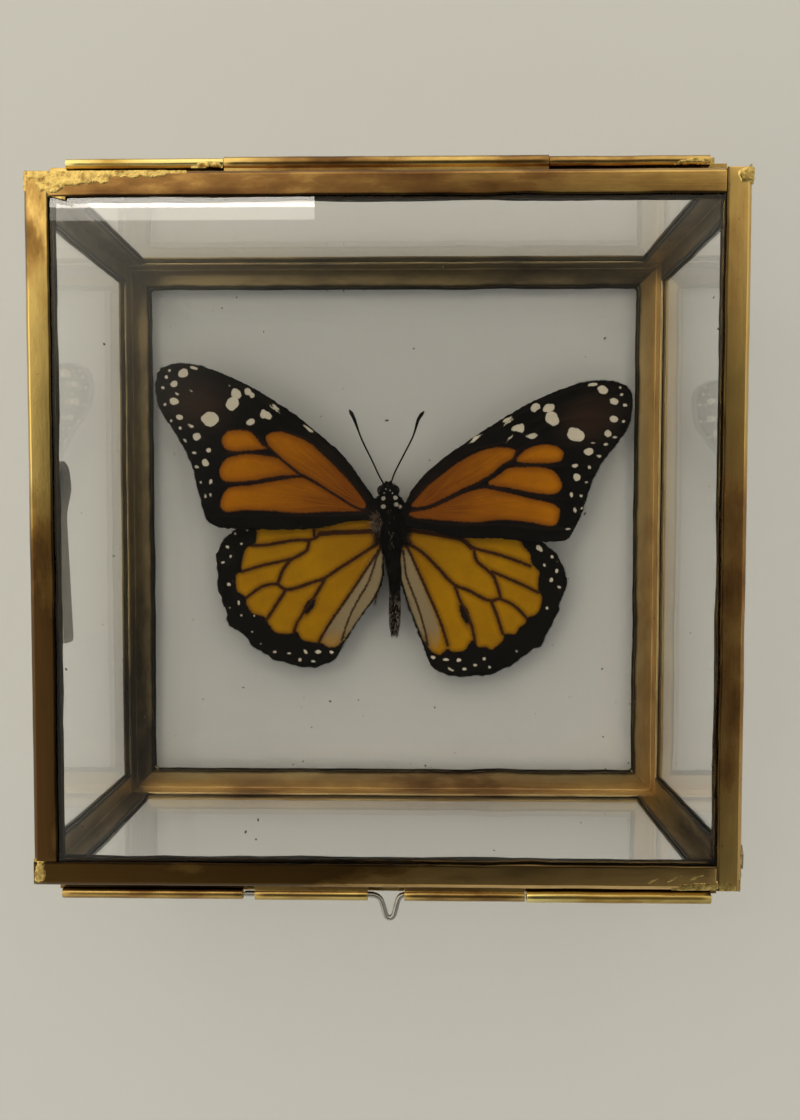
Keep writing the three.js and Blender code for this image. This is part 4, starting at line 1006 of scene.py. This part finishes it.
def hair_coat(name, count, seed):
    """Grows all the hair of the body: count bristles on its parts, then the dots, fringes and tufts."""
    draw = random.Random(seed)
    verts, faces, pales = [], [], []

    def hair(root, way, length, thick, pale, droop):
        """Grows one bristle and notes how pale it is."""
        before = len(verts)
        grow(verts, faces, root, way, length, thick, droop)
        pales.extend([pale] * (len(verts) - before))

    def jitter(size):
        """A small random step."""
        return Vector((draw.uniform(-size, size), draw.uniform(-size, size), draw.uniform(-size, size)))

    for _ in range(count):
        kind = draw.random()
        normal = Vector((draw.gauss(0, 1), draw.gauss(0, 1), abs(draw.gauss(0, 1)) - 0.35)).normalized()
        if kind < 0.62:
            middle, half = COLLAR if draw.random() < 0.25 else THORAX
            root = middle + Vector([normal[i] * half[i] for i in range(3)])
            out = Vector([normal[i] / half[i] for i in range(3)]).normalized()
            way = out * 0.7 + Vector((0, -0.75, 0)) + jitter(0.35)
            length = draw.uniform(0.45, 1.1)
            pale = draw.uniform(0.0, 0.1)
            # Pale hairs along the ridge of the thorax are partly grey hair and partly a painted glint.
            if abs(root.x + 0.2) < 0.5 and root.y < 4.5 and draw.random() < 0.16:
                pale = draw.uniform(0.4, 0.75)
            hair(root, way, length, 0.035, pale, Vector((0, -0.25, -0.12)))
        elif kind < 0.72:
            middle, half = HEAD
            root = middle + Vector([normal[i] * half[i] for i in range(3)])
            way = Vector(normal) + Vector((0, 0.35, 0.2)) + jitter(0.35)
            hair(root, way, draw.uniform(0.3, 0.65), 0.03, draw.uniform(0.0, 0.2), Vector((0, 0, -0.05)))
        else:
            share = draw.random()
            k = min(int(share * (len(spine) - 1)), len(spine) - 2)
            out = Vector((normal.x, 0, normal.z)).normalized()
            root = spine[k] + out * girth[k] * 0.97
            way = out * 0.4 + Vector((0, -1, 0)) + jitter(0.25)
            frayed = share > 0.5 and draw.random() < 0.36 * share
            pale = draw.uniform(0.5, 0.8) if frayed else draw.uniform(0.0, 0.1)
            length = draw.uniform(0.3, 0.7) + max(0, share - 0.96) * 12
            hair(root, way, length, 0.045 if frayed else 0.03, pale, Vector((0, -0.05, -0.03)))

    # White dots are tight tufts of scales.
    for x, y, long, short in WHITE_DOTS:
        for _ in range(int(700 * long * short) + 10):
            turn, far = draw.random() * 2 * pi, sqrt(draw.random())
            px, py = x + cos(turn) * far * long, y + sin(turn) * far * short
            root = Vector((px, py, back_at(x, y) + 0.3))
            tall = draw.uniform(0.3, 0.5)
            hair(root, Vector((0, -0.35, 1)) + jitter(0.25), tall, 0.05, draw.uniform(0.9, 1), Vector())

    # Long soft hair spreads from the thorax over the roots of the wings; on the left it is rubbed grey.
    for side in (-1, 1):
        for _ in range(500):
            y = draw.uniform(-2.2, 5.2)
            root = Vector((side * draw.uniform(1.6, 2.9) - 0.1, y, draw.uniform(5.9, 6.9)))
            way = Vector((side * draw.uniform(0.5, 1.2), draw.uniform(-0.9, 0.1), draw.uniform(-0.05, 0.25)))
            pale = draw.uniform(0.0, 0.25)
            hair(root, way, draw.uniform(0.8, 2.2), 0.03, pale, Vector((0, -0.3, -0.25)))
        # The inner edge of the hindwing carries a fringe of pale hair beside the abdomen.
        for _ in range(320):
            share = draw.random()
            root = Vector((side * (1.7 + 1.6 * share), -4.5 - 9 * share, 5.62))
            way = Vector((side * draw.uniform(-0.35, 0.5), -1, draw.uniform(0.0, 0.2)))
            hair(root, way, draw.uniform(0.8, 2.0), 0.025, draw.uniform(0.2, 0.6), Vector((0, 0, -0.05)))
    # On the left the coat is rubbed up into a grey tuft over the roots of both wings.
    for _ in range(260):
        turn, far = draw.random() * 2 * pi, sqrt(draw.random())
        root = Vector((-2.9 + 1.0 * far * cos(turn), 1.6 + 1.9 * far * sin(turn), draw.uniform(6.5, 7.0)))
        way = Vector((draw.uniform(-0.8, 0.3), draw.uniform(-1, 1.1), draw.uniform(0.1, 0.5)))
        hair(root, way, draw.uniform(0.6, 1.9), 0.034, draw.uniform(0.2, 0.75), Vector((-0.1, -0.2, -0.25)))

    coat = form(name, verts, faces, HAIR, "body_scales")
    coat.data.attributes.new("pale", "FLOAT", "POINT").data.foreach_set("value", np.array(pales, np.float32))


hair_coat("body_hair", 9000, 77)


# ---- Feelers: two stiff black threads of many short joints, each ending in a slim club.
# They grow from the top of the head and have dried in a slight curve, standing clear of the glass.

def feeler(name, node, points):
    """A feeler along a line of points; every fourth ring of it stands out as a joint."""
    path = curve3(points, 0.1)
    share = np.linspace(0, 1, len(path))
    radii = np.interp(share, [0, .05, .7, .82, .95, 1], [.2, .15, .16, .28, .35, .1])
    radii = [r * (1 + 0.09 * (1 if k % 4 == 0 else 0)) for k, r in enumerate(radii)]
    verts, faces = [], []
    loft(verts, faces, path, radii, sides=10)
    form(name, verts, faces, SKIN, "body_scales", node)


feeler("feeler_left", "antenna_left",
       [(-1.5, 9.0, 6.2), (-2.6, 11, 6.5), (-4, 14, 7.1), (-5.8, 17.7, 7.7), (-7.2, 21.5, 8.2),
        (-8.1, 23.2, 8.4)])
feeler("feeler_right", "antenna_right",
       [(-0.3, 9.1, 6.2), (0.5, 11.4, 6.6), (2.2, 14.7, 7.1), (4, 18.2, 7.7), (5, 21.3, 8.2),
        (6.1, 22.9, 8.4)])


# ---- Lid: a pane in a frame of four folded brass strips, butted and soldered at the corners.
# It is brighter than the case where hands polish it, and partly by painted light, and a rough solder
# smear covers the joint at the top left. A small tab of dark tin holds the lower right corner.

# Each side's colours and the fade of its bloom are part wear and part painted light and reflection: cleanest
# at the top of the left strip and at the right of the catch side.
LID_BRASS = {
    "left": brass_for("bright_lid_brass", "#cdb06a", "#8d6c39", "#46301c", 0.07, -0.2, (0.06, 0.34)),
    "hinge_side": brass_for("brown_lid_brass", "#bd9a5a", "#8c683b", "#5a3c24", 0.06),
    "right": brass_for("warm_lid_brass", "#d0ad68", "#a67d48", "#5d3f26", 0.0, -0.04),
    "catch_side": brass_for("dark_lid_brass", "#d6b070", "#8a6a3a", "#3d2a13", 0.06, -0.22),
}
for side in SIDES:
    hand_folded("lid_frame_" + side, "lid_brass", LID_BRASS[side], waver=0.14, soft=0.34)
glaze("lid_glass")
dust("lid_glass_dust", 49.5, 45.53, 90, 9, "lid")

LID_TOP = 46.0
BRIGHT_SOLDER = tin_solder("brassy_solder", "#c9ad66", "#8a6c3c")
lid_smears = [
    ((-50.6, 52.4, LID_TOP), 3.4, 2.0, -12, 0.03, UP),
    ((-45.0, 53.0, LID_TOP), 5.6, 1.5, 3, 0.03, UP),
    ((-36.5, 53.5, LID_TOP), 7.0, 0.9, 2, 0.03, UP),
    ((48.0, -53.3, LID_TOP), 4.6, 0.7, 4, 0.025, UP),
    ((44.0, -51.9, LID_TOP), 1.9, 0.35, 24, 0.02, UP),
    ((47.3, -51.8, LID_TOP), 1.7, 0.3, 20, 0.02, UP),
    ((40.6, -52.4, LID_TOP), 1.2, 0.25, 30, 0.02, UP),
    ((51.9, -53.2, LID_TOP), 1.8, 0.9, 0, 0.03, UP),
    ((53.0, 52.9, LID_TOP), 1.4, 1.4, 20, 0.12, UP),
    ((OUTER, 53.0, 44.6), 1.5, 1.1, 90, 0.3, (1, 0, 0)),
    ((-53.0, -51.6, LID_TOP), 1.0, 1.9, 0, 0.03, UP),
    ((OUTER, -50.0, 44.6), 2.8, 1.0, 90, 0.12, (1, 0, 0)),
]
solder("lid_corner_solder", lid_smears, BRIGHT_SOLDER, "lid_brass", "lid")


def edge_tab():
    """A scrap of dark tinned sheet soldered on edge at the lower right of the lid."""
    verts, faces = [], []
    outline = [(-51.2, 43.4), (-47.5, 43.2), (-47.3, 44.3), (-48.6, 45.0), (-51.0, 44.8)]
    for x in (53.9, 54.25, 54.55):
        shrink = 0.0 if x < 54.5 else 0.12
        for y, z in outline:
            verts.append(Vector((x, y + shrink * (1 if y < -49 else -1), z - shrink * (1 if z > 44 else -1))))
    count = len(outline)
    for layer in (0, count):
        for k in range(count):
            n = (k + 1) % count
            faces.append([layer + k, layer + n, layer + count + n, layer + count + k])
    faces.append([k for k in reversed(range(count))])
    faces.append([2 * count + k for k in range(count)])
    form("edge_tab", verts, faces, SOLDER, "lid_brass", body="lid", sharp=30)


edge_tab()


# ---- Hinge: three tubes rolled from thin brass on one pin, soldered to a strip and to the lid.
# The left tube is in a paler brass than the others, as painted light and shade; a bead of solder marks where
# they were fixed.

HINGE_BRASS = brass_for("hinge_tube_brass", "#e0cc84", "#b8964e", "#6b4e2a", -0.04)
DARK_TUBE_BRASS = brass_for("shaded_tube_brass", "#cdb06a", "#967442", "#55391f", 0.03)
for node, metal in (("hinge_strip", DARK_TUBE_BRASS), ("hinge_tube_left", HINGE_BRASS),
                    ("hinge_tube_right", DARK_TUBE_BRASS), ("hinge_tube_middle", DARK_TUBE_BRASS),
                    ("hinge_pin", DARK_TUBE_BRASS)):
    hand_folded(node, "hinge_brass", metal, waver=0.05, soft=0.06)
hinge_beads = [((-27.0, 55.6, 43.75), 2.4, 0.5, 0, 0.16, UP), ((46.0, 55.7, 43.7), 3.0, 0.5, 0, 0.12, UP)]
solder("hinge_end_solder", hinge_beads, BRIGHT_SOLDER, "hinge_brass", "case")


# ---- Catch: four short tubes like the hinge's, two on the case and two on the lid. A sprung steel
# wire lies in the lid's two and is bent out between them into a narrow pull.

# The right catch tube is in the paler tube brass and the others in the darker: painted light and shade.
for node, metal in (("catch_strip", DARK_TUBE_BRASS), ("catch_tube_left", DARK_TUBE_BRASS),
                    ("catch_tube_right", HINGE_BRASS), ("catch_tube_middle_left", DARK_TUBE_BRASS),
                    ("catch_tube_middle_right", DARK_TUBE_BRASS)):
    hand_folded(node, "hinge_brass", metal, waver=0.05, soft=0.06)


def sprung_steel(name):
    """Drawn steel wire: cold silver with a tight shine, dulled in spots."""
    made, tree, shader = surface(name, Metallic=1)
    where = add(tree, "TexCoord", {}).outputs["Object"]
    spots = add(tree, "TexNoise", {"Vector": where, "Scale": every(1.5), "Detail": 4})
    shade = add(tree, "Mix", {0: spots, 6: paint("#b8b6ae"), 7: paint("#77736a")}, data_type="RGBA")
    gloss = add(tree, "MapRange", {0: spots, 1: 0.3, 2: 0.7, 3: 0.18, 4: 0.4})
    plug(tree, shader, {"Base Color": shade, "Roughness": gloss})
    return made


STEEL = sprung_steel("drawn_steel_wire")
wire = place("sprung_wire", mesh_of("sprung_wire", solid_of("catch_wire", whole_faces=False)), STEEL)
rounded = wire.modifiers.new("round", "SUBSURF")
rounded.levels = rounded.render_levels = 1
finish_piece(wire, "steel_wire", "catch_wire", body=BODY_OF["catch_wire"])


# ---- Side clip: a flattened loop of brass with a long tail, soldered under the left rim by a short
# tongue. Its corners are filed round.

work = solid_of("side_clip")
corners = [e for e in work.edges if abs((e.verts[0].co - e.verts[1].co).normalized().x) > 0.99]
soften(work, corners, 0.9, 4)
clip = place("filed_side_clip", mesh_of("filed_side_clip", work, sharp=50), DULL_BRASS["Y"])
filed = clip.modifiers.new("filed_edges", "BEVEL")
filed.width = 0.12 * MM
filed.segments = 2
finish_piece(clip, "hinge_brass", "side_clip", body=BODY_OF["side_clip"])


# ---- Studio: a pale matt table in a pale room, with a strip lamp high up at the back left.
# The case stands on its back edging, and the table lies just under the waver of the strips.

work = bmesh.new()
bmesh.ops.create_grid(work, x_segments=8, y_segments=8, size=5.0)
for vert in work.verts:
    vert.co.z = -0.07 * MM
matt_table = surface("matt_table", Roughness=0.55, Base_Color=paint("#cccccb"))[0]
place("table", mesh_of("table", work), matt_table)

room = bpy.data.worlds.new("pale_room")
bpy.context.scene.world = room
room.use_nodes = True
sky = room.node_tree
toward = add(sky, "TexCoord", {}).outputs["Generated"]
# Straight above hangs a dark hood, so that no light is mirrored in the lid over the butterfly.
from_hood = add(sky, "VectorMath", {0: toward, 1: (0.045, -0.085, 0.995)}, operation="DOT_PRODUCT")
open_sky = add(sky, "MapRange", {0: from_hood.outputs["Value"], 1: 0.966, 2: 0.766, 3: 0.03, 4: 1.0},
               interpolation_type="SMOOTHSTEP")
# The walls: their red, green and blue, and how these change to the right, to the back and upwards.
light = (1.03, 0.99, 0.92)
for part, change in (("X", (-0.48, -0.43, -0.34)), ("Y", (0.58, 0.5, 0.36)), ("Z", (0.19, 0.17, 0.03))):
    along = add(sky, "SeparateXYZ", {0: toward}).outputs[part]
    light = add(sky, "VectorMath", {0: along, 1: change, 2: light}, operation="MULTIPLY_ADD")
plug(sky, sky.nodes["Background"], {"Color": light, "Strength": open_sky})

# A strip lamp and its fainter lower half, each with its front edge, depth and power.
LAMP_LONG, LAMP_HIGH, LAMP_END = 330, 733, -87
for name, front, deep, power in (("strip_lamp", 286, 11, 0.12), ("strip_lamp_shade", 274.5, 11.5, 0.03)):
    strip = bpy.data.lights.new(name, "AREA")
    strip.shape = "RECTANGLE"
    strip.size, strip.size_y = LAMP_LONG * MM, deep * MM
    strip.energy = power
    strip.color = paint("#fff8ec")[:3]
    lamp = bpy.data.objects.new(name, strip)
    lamp.location = at(LAMP_END - LAMP_LONG / 2, front + deep / 2, LAMP_HIGH)
    bpy.context.collection.objects.link(lamp)

# The camera looks down on the lid, turned by a degree or two off the upright.
SENSOR = 36
FOCAL, FRAME_TALL = 906, 1120  # in pixels of the frame
camera = bpy.data.cameras.new("camera")
camera.lens = SENSOR * FOCAL / FRAME_TALL
camera.sensor_width = SENSOR
camera.sensor_fit = "AUTO"
camera.clip_start = 0.005
viewer = bpy.data.objects.new("camera", camera)
EYE_POINT = (4.592, 1.681, 181.775)
TURN = Matrix(((0.99984, -0.00152, 0.01757), (0.00081, 0.99918, 0.04057), (-0.01762, -0.04055, 0.99902)))
viewer.matrix_world = Matrix.Translation(at(*EYE_POINT)) @ TURN.to_4x4()
bpy.context.collection.objects.link(viewer)
bpy.context.scene.camera = viewer
